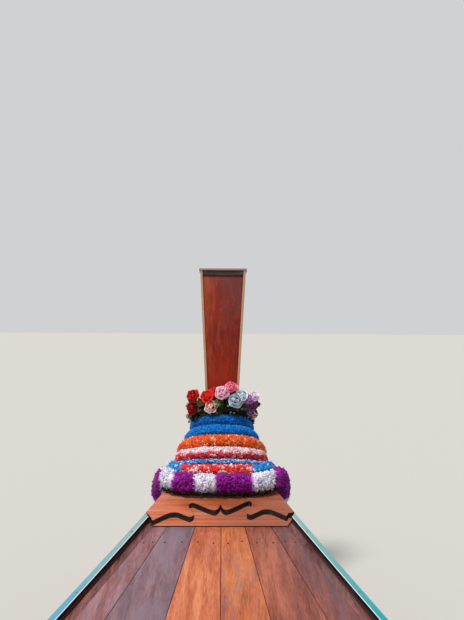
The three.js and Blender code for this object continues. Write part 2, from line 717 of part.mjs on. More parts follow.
// An arched piece between two heights above the arch, from y0 to y1
const ARCH_XS = Array.from({ length: 17 }, (_, i) => (i / 8 - 1) * (CANOPY_HALF + 22));
function arched(xs, low, high, y0, y1) {
  const outline = [...xs.map((x) => new THREE.Vector2(x, archZ(x) + low)),
    ...xs.toReversed().map((x) => new THREE.Vector2(x, archZ(x) + high))];
  const geometry = new THREE.ExtrudeGeometry(new THREE.Shape(outline),
    { depth: y1 - y0, steps: 1, bevelEnabled: false });
  geometry.rotateX(Math.PI / 2);
  geometry.translate(0, y1, 0);
  return geometry;
}

const BOW_LOW = 13.6;            // seats the bows' ends on the side rails
const BOW_THICK = 28;
function canopyBows() {
  const bowYs = [CANOPY_FORE_Y - 15, 300, -350, -1000, -1650, -2300, CANOPY_AFT_Y + 15];
  const pieces = bowYs.map((y) => arched(ARCH_XS, BOW_LOW, BOW_LOW + BOW_THICK, y - 15, y + 15));
  for (const x of [ARCH_XS[3], ARCH_XS[8], ARCH_XS[13]]) {
    const z = archZ(x) + BOW_LOW;
    pieces.push(box(v(x - 20, CANOPY_AFT_Y + 5, z - 8), v(x + 20, CANOPY_FORE_Y - 5, z + 14)));
  }
  return join(...pieces);
}

function canopySheet() {
  const edge = CANOPY_HALF + 60;
  const low = BOW_LOW + BOW_THICK + GAP;
  return arched([-edge, ...ARCH_XS, edge], low, low + 5, CANOPY_AFT_Y - 40, CANOPY_FORE_Y + 40);
}

// Engine and tail, drawn about the trunnion's centre

const ARM_X = 225;
const PIN_R = 15;

function enginePost() {
  const top = PIVOT_Z - 262;
  const bottom = -120;
  const post = rod(v(0, PIVOT_Y, bottom), v(0, PIVOT_Y, top), 62, 62, 20);
  const seat = sheerZ(PIVOT_Y - 110) + 12 + 2 * GAP;
  const flange = rod(v(0, PIVOT_Y, seat), v(0, PIVOT_Y, seat + 36), 110, 110, 20);
  const bore = rod(v(0, PIVOT_Y, top - 150), v(0, PIVOT_Y, top + 10), 30.4, 30.4, 24);
  const hollow = rod(v(0, PIVOT_Y, bottom - 10), v(0, PIVOT_Y, top - 170), 54, 54, 20);
  return cut(join(post, flange), bore, hollow);
}

function swivel() {
  const plate = box(v(-ARM_X - 30, -80, -250), v(ARM_X + 30, 80, -226));
  const arms = [1, -1].map((side) => box(
    v(side > 0 ? ARM_X : -ARM_X - 30, -45, -230), v(side > 0 ? ARM_X + 30 : -ARM_X, 45, 40)));
  const pin = rod(v(0, 0, -400), v(0, 0, -240), 30, 30, 24);
  const collar = rod(v(0, 0, -262 + GAP), v(0, 0, -240), 80, 80, 24);
  const bores = rod(v(-ARM_X - 60, 0, 0), v(ARM_X + 60, 0, 0), PIN_R + 0.5, PIN_R + 0.5, 24);
  return cut(join(plate, ...arms, pin, collar), bores);
}

function cradle() {
  const railX = 185;
  const rails = [1, -1].map((side) => box(
    v(side * railX - 20, -260, -120), v(side * railX + 20, 760, -80)));
  const cross = [-235, 715].map((y) => box(v(-railX, y - 25, -118), v(railX, y + 25, -84)));
  const plates = [1, -1].map((side) => box(
    v(side > 0 ? 190 : -204, -60, -100), v(side > 0 ? 204 : -190, 60, 40)));
  const pins = [1, -1].map((side) => rod(
    v(side * 195, 0, 0), v(side * (ARM_X + 42), 0, 0), PIN_R, PIN_R, 24));
  return join(...rails, ...cross, ...plates, ...pins);
}

function engineBlock() {
  const block = box(v(-130, 110, -70), v(130, 600, 180));
  const sump = loft([
    [v(-110, 150, -70), v(110, 150, -70), v(110, 560, -70), v(-110, 560, -70)],
    [v(-80, 190, -180), v(80, 190, -180), v(80, 540, -180), v(-80, 540, -180)],
  ]);
  const bell = rod(v(0, 115, 0), v(0, -70, 0), 150, 60, 24);
  const pulley = rod(v(0, 595, -10), v(0, 640, -10), 80, 80, 24);
  const alternator = rod(v(-175, 420, 80), v(-175, 590, 80), 58, 58, 16);
  const mount = box(v(-150, 440, 40), v(-110, 560, 120));
  const feet = [[1, 200], [1, 520], [-1, 200], [-1, 520]].map(([side, y]) => box(
    v(side > 0 ? 110 : -200, y - 32, -80 + GAP), v(side > 0 ? 200 : -110, y + 32, -50)));
  return join(block, sump, bell, pulley, mount, alternator, ...feet);
}

function engineHead() {
  const head = box(v(-115, 120, 180 + GAP), v(115, 590, 262));
  const cover = loft([
    [v(-90, 140, 258), v(90, 140, 258), v(90, 575, 258), v(-90, 575, 258)],
    [v(-70, 155, 325), v(70, 155, 325), v(70, 560, 325), v(-70, 560, 325)],
  ]);
  const filler = rod(v(0, 480, 320), v(0, 480, 348), 26, 26, 16);
  return join(head, cover, filler);
}

function exhaust() {
  const log = box(v(115 + GAP, 150, 196), v(170, 560, 246));
  const pipe = tubeAlong([v(145, 180, 225), v(175, 120, 250), v(190, 20, 330), v(190, -120, 400),
    v(190, -300, 420)], 22, 10, 18);
  const silencer = rod(v(190, -280, 418), v(190, -700, 440), 55, 55, 16);
  const outlet = rod(v(190, -690, 440), v(190, -860, 452), 20, 20, 12);
  const chamber = rod(v(190, -310, 420), v(190, -690, 439), 50, 50, 16);
  const mouth = rod(v(190, -680, 439), v(190, -870, 452.7), 16, 16, 12);
  return cut(join(log, pipe, silencer, outlet), join(chamber, mouth));
}

function airFilter() {
  const drum = rod(v(-205, 250, 250), v(-205, 250, 340), 78, 78, 20);
  const neck = box(v(-225, 230, 205), v(-115 - GAP, 270, 252));
  return join(drum, neck);
}

function shaftTube() {
  const tube = rod(v(0, -70 - GAP, 0), v(0, -TAIL_LENGTH, 0), 34, 34, 20);
  const flange = rod(v(0, -70 - GAP, 0), v(0, -95, 0), 58, 58, 20);
  // z, and how far ahead of the tube's end the fin starts and stops
  const fin = loft([[-20, 60, 620], [-215, 20, 240]].map(([z, start, stop]) => {
    const [aft, fore] = [start - TAIL_LENGTH, stop - TAIL_LENGTH];
    return [v(-4, aft, z), v(4, aft, z), v(4, fore, z), v(-4, fore, z)];
  }));
  const stays = [1, -1].map((side) => rod(v(side * 20, -1550, 10), v(side * 20, -300, 150), 11, 11, 10));
  const strut = box(v(-30, -330, -10), v(30, -290, 165));
  const bore = rod(v(0, -TAIL_LENGTH + 120, 0), v(0, -TAIL_LENGTH - 10, 0), 14.5, 14.5, 20);
  const hollow = rod(v(0, -TAIL_LENGTH + 118, 0), v(0, -110, 0), 27.5, 27.5, 20);
  return cut(join(tube, flange, fin, ...stays, strut), join(bore, hollow));
}

function tiller() {
  const handle = tubeAlong([v(0, 780, -95), v(0, 850, -60), v(0, 980, 60), v(0, 1250, 190),
    v(0, 1630, 255)], 19, 10, 22);
  const bracket = box(v(-60, 740 + GAP, -118), v(60, 790, -60));
  const grip = rod(v(0, 1470, 232), v(0, 1690, 262), 25, 25, 14);
  return join(handle, bracket, grip);
}

function propeller() {
  const hub = rod(v(0, -TAIL_LENGTH - 12, 0), v(0, -TAIL_LENGTH - 112, 0), 38, 26, 20);
  const shaft = rod(v(0, -TAIL_LENGTH + 110, 0), v(0, -TAIL_LENGTH - 130, 0), 14, 14, 20);
  const blades = [0, 1, 2].map((k) => {
    const rows = [[22, 34, 52], [80, 58, 40], [130, 62, 30], [165, 30, 22]];
    const blade = loft(rows.map(([r, half, pitch]) => {
      const turn = THREE.MathUtils.degToRad(pitch);
      return [[-half, -3], [half, -3], [half, 3], [-half, 3]].map(([a, b]) => v(
        a * Math.cos(turn) - b * Math.sin(turn),
        -TAIL_LENGTH - 62 + a * Math.sin(turn) + b * Math.cos(turn), r));
    }));
    blade.rotateY((k * 2 * Math.PI) / 3);
    return blade;
  });
  return join(hub, shaft, ...blades);
}

// Assembly

const boat = new THREE.Group();

function piece(name, geometry, material, parent = boat) {
  const settings = { metalness: 0, ...MATERIALS[material] };
  const mesh = new THREE.Mesh(geometry, new THREE.MeshStandardMaterial(settings));
  mesh.name = name;
  parent.add(mesh);
  return mesh;
}

function pair(name, geometry, material, other = material) {
  piece(`${name}_starboard`, geometry, material);
  piece(`${name}_port`, mirrored(indexed(geometry)), other);
}

function indexed(geometry) {
  return geometry.index ? geometry : mergeVertices(geometry, 1e-4);
}

piece('keel', keel(), 'bottom');
piece('stem', stem(), 'prow');
STRAKE_NAMES.forEach((name, i) => {
  const paint = i < 2 ? 'bottom' : 'topsides';
  if (name === 'side') {
    pair('strake_side_aft', strake(i, STATIONS[0], BUTT_Y - GAP / 2), paint);
    pair('strake_side_fore', strake(i, BUTT_Y + GAP / 2), paint);
  } else {
    pair(`strake_${name}`, strake(i), paint);
  }
});
piece('transom', transom(), 'topsides');
const railInner = RAIL_WIDTH - RAIL_OUT;
pair('gunwale', sheerStrip({ from: TRANSOM_Y, to: BOARD_CORNER_Y, outer: -RAIL_OUT, inner: railInner,
  bottom: 2 * GAP, top: RAIL_TOP, mitre: true }), 'railStarboard', 'railPort');
pair('rub_rail', sheerStrip({ from: TRANSOM_Y, to: STEM_Y - 60, outer: -RUB_OUT, inner: 0.6,
  bottom: -90, top: -45 }), 'rub');
pair('waterway', sheerStrip({ from: DECK_AFT_Y, to: BOARD_CORNER_Y, outer: railInner + 5,
  inner: DECK_EDGE - 1, bottom: WATERWAY_TOP - WATERWAY_THICK, top: WATERWAY_TOP,
  mitre: true }), 'darkWood');
for (let i = 0; i + 1 < DECK_SEAMS.length; i += 1) {
  piece(`deck_plank_${i + 1}`, deckPlank(i), i === 2 || i === 3 ? 'deck' : 'deckGrey');
}
piece('cover_board', coverBoard(), 'board');
piece('foredeck_frame', foredeckFrame(), 'darkWood');
piece('foredeck_fascia', foredeckFascia(), 'board');

boat.add(onProw(piece('prow_board', prowBoard(), 'prow')));
boat.add(onProw(piece('prow_trim', prowTrim(), 'cream')));
GARLANDS.forEach(([name], i) => piece(name, garland(i), 'canvas'));

pair('ribs', ribs(), 'seat');
piece('floorboards', floorboards(), 'floor');
THWART_STATIONS.forEach((_, i) => piece(`thwart_${i + 1}`, thwart(i), 'seat'));
piece('stern_deck', sternDeck(), 'deckGrey');

pair('canopy_side', canopySide(), 'inside');
piece('canopy_bows', canopyBows(), 'seat');
piece('canopy_sheet', canopySheet(), 'canvas');

piece('engine_post', enginePost(), 'iron');
const motor = new THREE.Group();
motor.position.set(0, PIVOT_Y, PIVOT_Z);
boat.add(motor);
piece('engine_swivel', swivel(), 'iron', motor);
piece('engine_cradle', cradle(), 'rust', motor);
piece('engine_block', engineBlock(), 'engine', motor);
piece('engine_head', engineHead(), 'engine', motor);
piece('exhaust', exhaust(), 'rust', motor);
piece('air_filter', airFilter(), 'iron', motor);
piece('shaft_tube', shaftTube(), 'iron', motor);
piece('tiller', tiller(), 'iron', motor);
piece('propeller', propeller(), 'bronze', motor);

export default boat;
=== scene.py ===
"""A longtail boat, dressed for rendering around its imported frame.

Metres, +Y towards the bow, +X starboard, +Z up, and z = 0 at the waterline, as in the frame.
Each operator makes one group of pieces. Run as a script, the file calls them all in order.
"""

import bisect
import math
import random

import bmesh
import bpy
import numpy as np
from mathutils import Matrix, Vector, noise
from mathutils.bvhtree import BVHTree


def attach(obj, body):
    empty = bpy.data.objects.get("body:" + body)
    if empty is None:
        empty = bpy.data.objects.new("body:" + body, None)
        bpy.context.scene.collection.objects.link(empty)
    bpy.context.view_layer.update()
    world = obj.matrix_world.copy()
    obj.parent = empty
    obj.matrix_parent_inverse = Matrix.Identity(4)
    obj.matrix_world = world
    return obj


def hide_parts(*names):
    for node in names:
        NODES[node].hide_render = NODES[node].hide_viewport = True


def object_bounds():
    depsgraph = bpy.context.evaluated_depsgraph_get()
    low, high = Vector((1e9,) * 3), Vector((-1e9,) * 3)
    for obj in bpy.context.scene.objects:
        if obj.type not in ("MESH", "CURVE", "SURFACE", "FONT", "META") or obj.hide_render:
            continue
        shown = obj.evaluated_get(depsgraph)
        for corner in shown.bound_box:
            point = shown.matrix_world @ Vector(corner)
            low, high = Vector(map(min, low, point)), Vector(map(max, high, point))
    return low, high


bl_info = {
    "name": "Longtail Boat",
    "version": (1, 0, 0),
    "blender": (4, 5, 0),
    "location": "View3D > Sidebar > Boat",
    "description": "Dresses a longtail boat's hull, foredeck, garlands, canopy and engine",
    "category": "Object",
}

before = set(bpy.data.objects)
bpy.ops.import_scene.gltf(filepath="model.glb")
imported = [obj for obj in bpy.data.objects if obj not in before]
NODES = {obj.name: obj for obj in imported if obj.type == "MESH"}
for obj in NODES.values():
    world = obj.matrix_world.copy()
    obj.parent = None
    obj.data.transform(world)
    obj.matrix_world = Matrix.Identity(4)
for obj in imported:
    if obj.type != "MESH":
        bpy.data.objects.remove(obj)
CAD_LOW, CAD_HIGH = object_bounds()

SIDES = {"starboard": 1, "port": -1}
STRAKES = ("garboard", "bilge", "side_aft", "side_fore", "sheer")
STATIONS = [-4.7 + 0.45 * i for i in range(20)] + [4.24, 4.4]
SHEER = (0.6, 0.06, 0.0115)      # the sheer's height: constant, by y and by y squared
RAIL_OUT = 0.008                 # overhang of the rail, and of the rub rail
RUB_OUT = 0.022
RAIL_WIDTH = 0.030
RAIL_TOP = 0.027                 # this and the next three are heights over the sheer
DECK_TOP = 0.008
LEDGE_TOP = 0.0115
BOARD_TOP = 0.029


def colour(text):
    """A linear colour from an sRGB hex string."""
    channels = [int(text[i:i + 2], 16) / 255 for i in (0, 2, 4)]
    return tuple(c / 12.92 if c <= 0.04045 else ((c + 0.055) / 1.055) ** 2.4 for c in channels)


def tint(name, description, text):
    """A colour property."""
    return bpy.props.FloatVectorProperty(name=name, description=description, subtype="COLOR",
                                         size=3, min=0, max=1, default=colour(text))


def length(name, description, default):
    """A length property."""
    return bpy.props.FloatProperty(name=name, description=description, default=default,
                                   subtype="DISTANCE", unit="LENGTH")


def turn(name, description, degrees):
    """An angle property."""
    return bpy.props.FloatProperty(name=name, description=description,
                                   default=math.radians(degrees), subtype="ANGLE", unit="ROTATION")


class StageSettings(bpy.types.PropertyGroup):
    """Camera, floor and light."""

    eye: bpy.props.FloatVectorProperty(name="Eye", description="Where the camera stands",
                                       subtype="TRANSLATION", unit="LENGTH", size=3,
                                       default=(0.017, 1.204, 1.862))
    yaw: turn("Yaw", "How far the camera looks to starboard of the bow", 0.803)
    pitch: turn("Pitch", "How far the camera looks up", 1.036)
    roll: turn("Roll", "Turn of the camera about its line of sight", -0.343)
    lens: bpy.props.FloatProperty(name="Lens", description="Focal length in millimetres", default=27.66)
    floor: tint("Floor", "Colour of the stage floor", "bfbdb9")
    floor_reach: length("Floor reach", "Half the floor's width", 60.0)


class DeckSettings(bpy.types.PropertyGroup):
    """Foredeck, rails and prow board."""

    bevel: length("Bevel", "Round on the edges of planks and rails", 0.0025)
    board: tint("Cover board", "Varnished cover board", "ba5c32")
    prow: tint("Prow board", "Varnish of the prow board", "7e2413")
    cream: tint("Trim", "Paint of the prow board's edges", "c4976c")
    rail_port: tint("Port rail", "Paint of the port rail", "5b98b2")
    rail_starboard: tint("Starboard rail", "Paint of the starboard rail", "0894a0")
    plug: length("Plug", "Radius of the plugs over the deck's nails", 0.004)


class HullSettings(bpy.types.PropertyGroup):
    """Planking and what is inside it."""

    topsides: tint("Topsides", "Paint above the water", "1f7f72")
    stripe: tint("Stripe", "Paint of the stripe under the rub rail", "d9cba8")
    bottom: tint("Bottom", "Paint under the water", "6e2b22")
    inside: tint("Inside", "Paint inside the planking", "2f7ba6")
    frames: tint("Ribs and benches", "Paint of ribs, benches and canopy bows", "d8b2a4")


class GarlandSettings(bpy.types.PropertyGroup):
    """Garlands and flowers."""

    floret: length("Floret", "Radius of one floret on a garland", 0.0105)
    rose: length("Rose", "Radius of a full rose", 0.041)
    seed: bpy.props.IntProperty(name="Seed", description="Varies the petals", default=7)


class CanopySettings(bpy.types.PropertyGroup):
    """Canopy cloth."""

    cloth: tint("Cloth", "Colour of the canopy", "2fa3cf")
    sag: length("Sag", "How far the cloth hangs between bows", 0.014)
    thickness: length("Thickness", "Thickness of the cloth", 0.0016)
    hem: length("Hem", "Radius of the rolled hem", 0.007)


class EngineSettings(bpy.types.PropertyGroup):
    """Engine and tail."""

    paint: tint("Engine paint", "Paint of the engine block", "35604f")
    steel: tint("Steel", "Painted steel of the tail and its post", "34373b")
    bronze: tint("Bronze", "Metal of the propeller", "a8803e")


# Shader values and materials


class Value:
    """A shader socket. Arithmetic on it adds Math nodes."""

    def __init__(self, recipe, socket):
        self.recipe = recipe
        self.socket = socket

    def math(self, operation, *values):
        """One Math node on these values."""
        return self.recipe.node("ShaderNodeMath", {"operation": operation}, dict(enumerate(values)))

    def __add__(self, other):
        return self.math("ADD", self, other)

    def __sub__(self, other):
        return self.math("SUBTRACT", self, other)

    def __rsub__(self, other):
        return self.math("SUBTRACT", other, self)

    def __mul__(self, other):
        return self.math("MULTIPLY", self, other)

    __radd__ = __add__
    __rmul__ = __mul__


class Recipe:
    """A material under construction."""

    def __init__(self, name):
        self.material = bpy.data.materials.new(name)
        self.material.use_nodes = True
        self.tree = self.material.node_tree
        self.surface = self.tree.nodes["Principled BSDF"]
        self.coordinates = self.tree.nodes.new("ShaderNodeTexCoord")

    def node(self, kind, settings=None, values=None, output=0):
        """A node of that kind, its settings made first, then its sockets, as a Value."""
        made = self.tree.nodes.new(kind)
        for name, value in (settings or {}).items():
            if name == "stops":
                self.stops(made.color_ramp, value)
            else:
                setattr(made, name, value)
        self.feed(made, values or {})
        return Value(self, made.outputs[output])

    def feed(self, node, values):
        """Links Values and sets numbers or colours on a node's sockets."""
        for name, value in values.items():
            socket = node.inputs[name]
            if isinstance(value, Value):
                self.tree.links.new(value.socket, socket)
            elif socket.type == "RGBA" and len(value) == 3:
                socket.default_value = (*value, 1)
            else:
                socket.default_value = value

    def stops(self, ramp, stops):
        """Gives a colour ramp its stops, each a place and a colour."""
        while len(ramp.elements) < len(stops):
            ramp.elements.new(1)
        for element, (place, shade) in zip(ramp.elements, stops):
            element.position = place
            element.color = (*shade, 1)

    def place(self, scale=(1, 1, 1), offset=(0, 0, 0), rotation=(0, 0, 0)):
        """Object coordinates, turned, scaled and moved."""
        return self.node("ShaderNodeMapping", None, {
            "Vector": Value(self, self.coordinates.outputs["Object"]),
            "Scale": scale, "Location": offset, "Rotation": rotation})

    def axis(self, name):
        """One of the object coordinates, x, y or z."""
        split = self.node("ShaderNodeSeparateXYZ", None,
                          {0: Value(self, self.coordinates.outputs["Object"])})
        return Value(self, split.socket.node.outputs["xyz".index(name)])

    def noise(self, scale, detail=4.0, rough=0.55, distortion=0.0, **moved):
        """Fractal noise from 0 to 1, scaled by axis."""
        return self.node("ShaderNodeTexNoise", None, {
            "Vector": self.place(scale, **moved), "Scale": 1.0, "Detail": detail,
            "Roughness": rough, "Distortion": distortion})

    def step(self, value, low, high):
        """0 below low and 1 above high, with a smooth rise between."""
        return self.node("ShaderNodeMapRange", {"interpolation_type": "SMOOTHSTEP"}, {
            "Value": value, "From Min": low, "From Max": high})

    def mix(self, share, first, second):
        """A colour between two."""
        return self.node("ShaderNodeMix", {"data_type": "RGBA"}, {0: share, 6: first, 7: second}, 2)

    def ramp(self, value, *stops):
        """A colour from a ramp."""
        return self.node("ShaderNodeValToRGB", {"stops": stops}, {0: value})

    def attribute(self, name, output):
        """A mesh attribute, as a colour (0) or a number (2)."""
        return self.node("ShaderNodeAttribute", {"attribute_name": name}, None, output)

    def bump(self, height, distance, strength=1.0):
        """Relief from a height value, distance in metres."""
        normal = self.node("ShaderNodeBump", None, {
            "Height": height, "Distance": distance, "Strength": strength})
        self.feed(self.surface, {"Normal": normal})

    def set(self, **values):
        """Sets the surface's sockets: Base_Color means Base Color."""
        self.feed(self.surface, {name.replace("_", " "): value for name, value in values.items()})


def along(axis, across, lengthwise):
    """Scales for a pattern that is stretched along one axis."""
    return tuple(lengthwise if name == axis else across for name in "xyz")


def lighter(shade, share):
    """A colour moved towards white, or towards black with a negative share."""
    goal = 1.0 if share > 0 else 0.0
    return tuple(c + (goal - c) * abs(share) for c in shade)


def varnished(name, dark, middle, light, seed, grain="y", stain=0.25, stain_colour="6d5a5c",
              rough=0.34, gloss=0.35, painted_shade=None):
    """Varnished timber: fine streaks along the grain, broad bands, and grey where it has worn.

    The last argument gives, by place, the share of a darker tone painted in as shade.
    """
    r = Recipe(name)
    offset = (seed * 3.7, seed * 5.3, seed * 1.9)
    fine = r.noise(along(grain, 230, 2.2), 5.0, 0.6, offset=offset)
    band = r.noise(along(grain, 36, 0.7), 3.0, 0.5, 0.6, offset=offset)
    blotch = r.noise(along(grain, 6, 2.2), 4.0, 0.6, 0.4, offset=offset)
    tone = fine * 0.4 + band * 0.36 + blotch * 0.28
    shade = r.ramp(tone, (0.38, dark), (0.51, middle), (0.64, light))
    pores = r.step(r.noise(along(grain, 420, 7.0), 3.0, offset=offset), 0.6, 0.74)
    shade = r.mix(pores * 0.2, shade, lighter(dark, -0.4))
    greying = r.noise(along(grain, 11, 2.6), 6.0, 0.68, 0.9, offset=(seed * 1.3, -seed, seed))
    worn = r.step(greying, 0.66 - stain * 0.5, 0.86 - stain * 0.35)
    shade = r.mix(worn * 0.75, shade, colour(stain_colour))
    if painted_shade:
        shade = r.mix(painted_shade(r), shade, lighter(dark, -0.1))
    r.set(Base_Color=shade, Roughness=worn * 0.22 + fine * 0.12 + (rough - 0.06),
          Coat_Weight=(1 - worn * 0.6) * gloss, Coat_Roughness=0.24, Specular_IOR_Level=0.35)
    r.bump(fine * 0.6 + band * 0.4 - pores * 0.5, 0.0006)
    return r.material


WORN = {"stain": 0.4, "rough": 0.45, "gloss": 0.1}
DARK_ACROSS = {"grain": "x", "gloss": 0.1}
WOODS = {
    # dark, middle and light tone, seed, and what differs from varnished()'s own values
    # near-black wood painted as shade on the strakes' top edges, in the gap under the rail
    "edge": ("1a0a07", "3c1d16", "64382c", 2.0, WORN),
    "waterway": ("2c1412", "633634", "8f5c58", 2.0, WORN),
    "stem": ("3f140b", "76301a", "9a4a26", 4.0, {"grain": "z", "stain": 0.4}),
    "rub": ("6b2f12", "a8551f", "cf7f3c", 9.0, {"stain": 0.5}),
    "deck_plank_1": ("5c3338", "8a565a", "a9787a", 1.0, {"stain": 0.5, "stain_colour": "8c7680"}),
    "deck_plank_2": ("4a3034", "725058", "94707a", 2.0, {"stain": 0.6, "stain_colour": "7d6a78"}),
    "deck_plank_3": ("8a3f24", "b85f38", "cf8258", 3.0, {"stain_colour": "b07c76"}),
    "deck_plank_4": ("7c3818", "b25c30", "cc7a46", 4.4, {"stain": 0.45, "stain_colour": "77606a"}),
    "deck_plank_5": ("63291f", "8c4634", "aa6048", 5.0, {"stain": 0.3, "stain_colour": "75585e"}),
    "deck_plank_6": ("4a2220", "743a32", "955248", 6.2, {"stain": 0.55, "stain_colour": "5c4a54"}),
    "plug": ("1c0d09", "2c1610", "4a281c", 3.0, {}),
    "frame": ("24120c", "3d2218", "573426", 8.0, {"stain": 0.4, "rough": 0.5}),
    "stern_deck": ("4d2f28", "7d5444", "9d7460", 11.0, {"stain": 0.6}),
    # dark wood painted as shade on the fretwork's upright faces, the cover board's aft edge and the
    # strip at the fretwork's foot
    "fret": ("0a0303", "1a0706", "300d09", 6.0, {**DARK_ACROSS, "stain": 0.1, "rough": 0.45}),
    "band": ("160a08", "26120f", "3b201a", 5.0, {**DARK_ACROSS, "rough": 0.5}),
    "floor": ("5d4433", "8d6f55", "b09274", 12.0,
              {"stain": 0.8, "stain_colour": "8c8478", "rough": 0.6, "gloss": 0.0}),
}


def wood(name):
    """A timber of the table."""
    *tones, seed, others = WOODS[name]
    return varnished(name + "_wood", *map(colour, tones), seed, **others)


def painted(name, shade, under="7a5a44", wear=0.5, second=None, share=None, grain="y", rough=0.42):
    """Painted timber: brush marks, dulled patches, and chips down to the wood.

    share gives the share of the second paint by place.
    """
    r = Recipe(name)
    brush = r.noise(along(grain, 240, 7))
    patch = r.noise((5, 3, 5), 5.0, 0.6)
    paint = r.mix(share(r), shade, second) if share else shade
    paint = r.mix(r.step(patch, 0.35, 0.75) * 0.35, paint, r.mix(0.5, paint, (0.5, 0.52, 0.5)))
    paint = r.mix(r.step(brush, 0.4, 0.7) * 0.14, paint, (0.05, 0.05, 0.05))
    chip = r.noise(along(grain, 60, 22), 8.0, 0.7)
    chips = r.step(chip + patch * 0.25, 0.86 - wear * 0.1, 0.885 - wear * 0.1)
    r.set(Base_Color=r.mix(chips, paint, colour(under)),
          Roughness=patch * 0.2 + chips * 0.3 + (rough - 0.1), Specular_IOR_Level=0.45)
    r.bump(brush * 0.5 - chips, 0.0005)
    return r.material


def metal(name, shade, rust=0.3, rough=0.45, metallic=0.7, rust_colour="6b3517"):
    """Painted or bare metal with rust in its patches."""
    r = Recipe(name)
    patch = r.noise((9, 6, 9), 7.0, 0.65, 0.3)
    speck = r.noise((90, 90, 90))
    rusty = r.step(patch + speck * 0.3, 0.86 - rust * 0.35, 0.98 - rust * 0.35)
    brown = r.mix(speck, colour(rust_colour), lighter(colour(rust_colour), -0.55))
    base = r.mix(r.step(patch, 0.3, 0.7) * 0.3, shade, lighter(shade, -0.45))
    r.set(Base_Color=r.mix(rusty, base, brown), Metallic=(1 - rusty) * metallic,
          Roughness=rusty * 0.35 + speck * 0.12 + rough)
    r.bump(speck * 0.6 + rusty * 0.8, 0.0006)
    return r.material


def petals(name, rough):
    """Cloth petals: their colours come with the mesh."""
    r = Recipe(name)
    mottle = r.noise((240, 240, 240), 3.0)
    shade = r.mix(r.step(mottle, 0.45, 0.75) * 0.12, r.attribute("petal", 0), (0, 0, 0))
    r.set(Base_Color=shade, Roughness=rough, Sheen_Weight=0.05, Sheen_Roughness=0.5,
          Specular_IOR_Level=0.12)
    r.bump(mottle, 0.0006)
    return r.material


def canvas(name, shade):
    """Coated canopy cloth with its weave, seams and sun-bleached patches."""
    r = Recipe(name)
    weave_x, weave_y = (
        r.node("ShaderNodeTexWave", {"wave_type": "BANDS", "bands_direction": direction},
               {"Vector": r.place(), "Scale": 160.0, "Distortion": 0.4}, 1) for direction in "XY")
    patch = r.noise((1.6, 1.1, 1), 5.0, 0.6)
    dirt = r.noise((7, 3, 7), 6.0, 0.65)
    cloth = r.mix(r.step(patch, 0.3, 0.75) * 0.5, shade, lighter(shade, 0.32))
    cloth = r.mix(r.step(dirt, 0.55, 0.8) * 0.22, cloth, colour("5f6f73"))
    y = r.axis("y")
    seam = 1 - r.step(y.math("PINGPONG", y + 0.02, 0.49), 0.004, 0.007)
    cloth = r.mix(seam * 0.5, cloth, lighter(shade, -0.5))
    r.set(Base_Color=cloth, Roughness=patch * 0.15 + 0.5, Sheen_Weight=0.1)
    r.bump(weave_x + weave_y - seam, 0.0006, 0.5)
    return r.material


# Shaping tools

MERGE = 0.00002                  # corners nearer than this are one
ROUND = 0.0025                   # how far edges are rounded, unless a piece says otherwise


def add(name, data):
    """A new object in the scene."""
    made = bpy.data.objects.new(name, data)
    bpy.context.collection.objects.link(made)
    return made


def only(*pieces):
    """Selects these pieces and nothing else."""
    bpy.ops.object.select_all(action="DESELECT")
    for piece in pieces:
        piece.select_set(True)
    bpy.context.view_layer.objects.active = pieces[0]


def apply(piece, kind, **settings):
    """Adds a modifier with these settings and applies it."""
    only(piece)
    modifier = piece.modifiers.new(kind.title(), kind)
    for name, value in settings.items():
        setattr(modifier, name, value)
    bpy.ops.object.modifier_apply(modifier=modifier.name)


def edit(piece, step, **settings):
    """Runs an edit mode step on all of a piece's mesh."""
    only(piece)
    bpy.ops.object.mode_set(mode="EDIT")
    bpy.ops.mesh.select_all(action="SELECT")
    getattr(bpy.ops.mesh, step)(**settings)
    bpy.ops.object.mode_set(mode="OBJECT")


def evenly(count, first, spacing):
    """Evenly spaced values."""
    return [first + i * spacing for i in range(count)]


def copy_of(node, name):
    """A copy of a CAD node's mesh with its corners merged."""
    mesh = NODES[node].data.copy()
    mesh.materials.clear()
    piece = add(name, mesh)
    only(piece)
    if mesh.has_custom_normals:
        bpy.ops.mesh.customdata_custom_splitnormals_clear()
    edit(piece, "remove_doubles", threshold=MERGE)
    return piece


def crease(piece, angle):
    """Holds a piece's sharp edges through subdivision."""
    work = bmesh.new()
    work.from_mesh(piece.data)
    layer = work.edges.layers.float.get("crease_edge") or work.edges.layers.float.new("crease_edge")
    for edge in work.edges:
        if len(edge.link_faces) == 2 and edge.calc_face_angle(0) > angle:
            edge[layer] = 1
    work.to_mesh(piece.data)
    work.free()


def rounded(piece, width, segments=2, sharp=30):
    """Bevels a piece's sharp edges."""
    apply(piece, "BEVEL", width=width, segments=segments, limit_method="ANGLE",
          angle_limit=math.radians(sharp))


def shaded(piece, sharp):
    """Smooths a piece's shading, save over sharp edges."""
    only(piece)
    bpy.ops.object.shade_smooth_by_angle(angle=math.radians(sharp))


def soften(piece, bevel, smooth=0, sharp=32):
    """Rounds a piece's edges. With smooth, its long faces are subdivided into fair curves first."""
    if smooth:
        wide = math.radians(70)
        edit(piece, "tris_convert_to_quads", face_threshold=wide, shape_threshold=wide)
        crease(piece, math.radians(28))
        apply(piece, "SUBSURF", levels=smooth, render_levels=smooth, boundary_smooth="PRESERVE_CORNERS")
    else:
        edit(piece, "dissolve_limited", angle_limit=math.radians(0.4))
    rounded(piece, bevel, sharp=sharp)
    shaded(piece, sharp)


def settle(piece, body, material, slot, *nodes):
    """Gives a finished piece its material or materials and its body, and hides the nodes it stands for.
    Its slot is not used.
    """
    for item in material if isinstance(material, list) else [material]:
        piece.data.materials.append(item)
    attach(piece, body)
    if nodes:
        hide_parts(*nodes)
    return piece


def dress(node, material, slot, bevel=ROUND, smooth=0, body="hull", sharp=32):
    """A node's own shape, softened and finished."""
    piece = copy_of(node, "dressed_" + node)
    soften(piece, bevel, smooth, sharp)
    return settle(piece, body, material, slot, node)


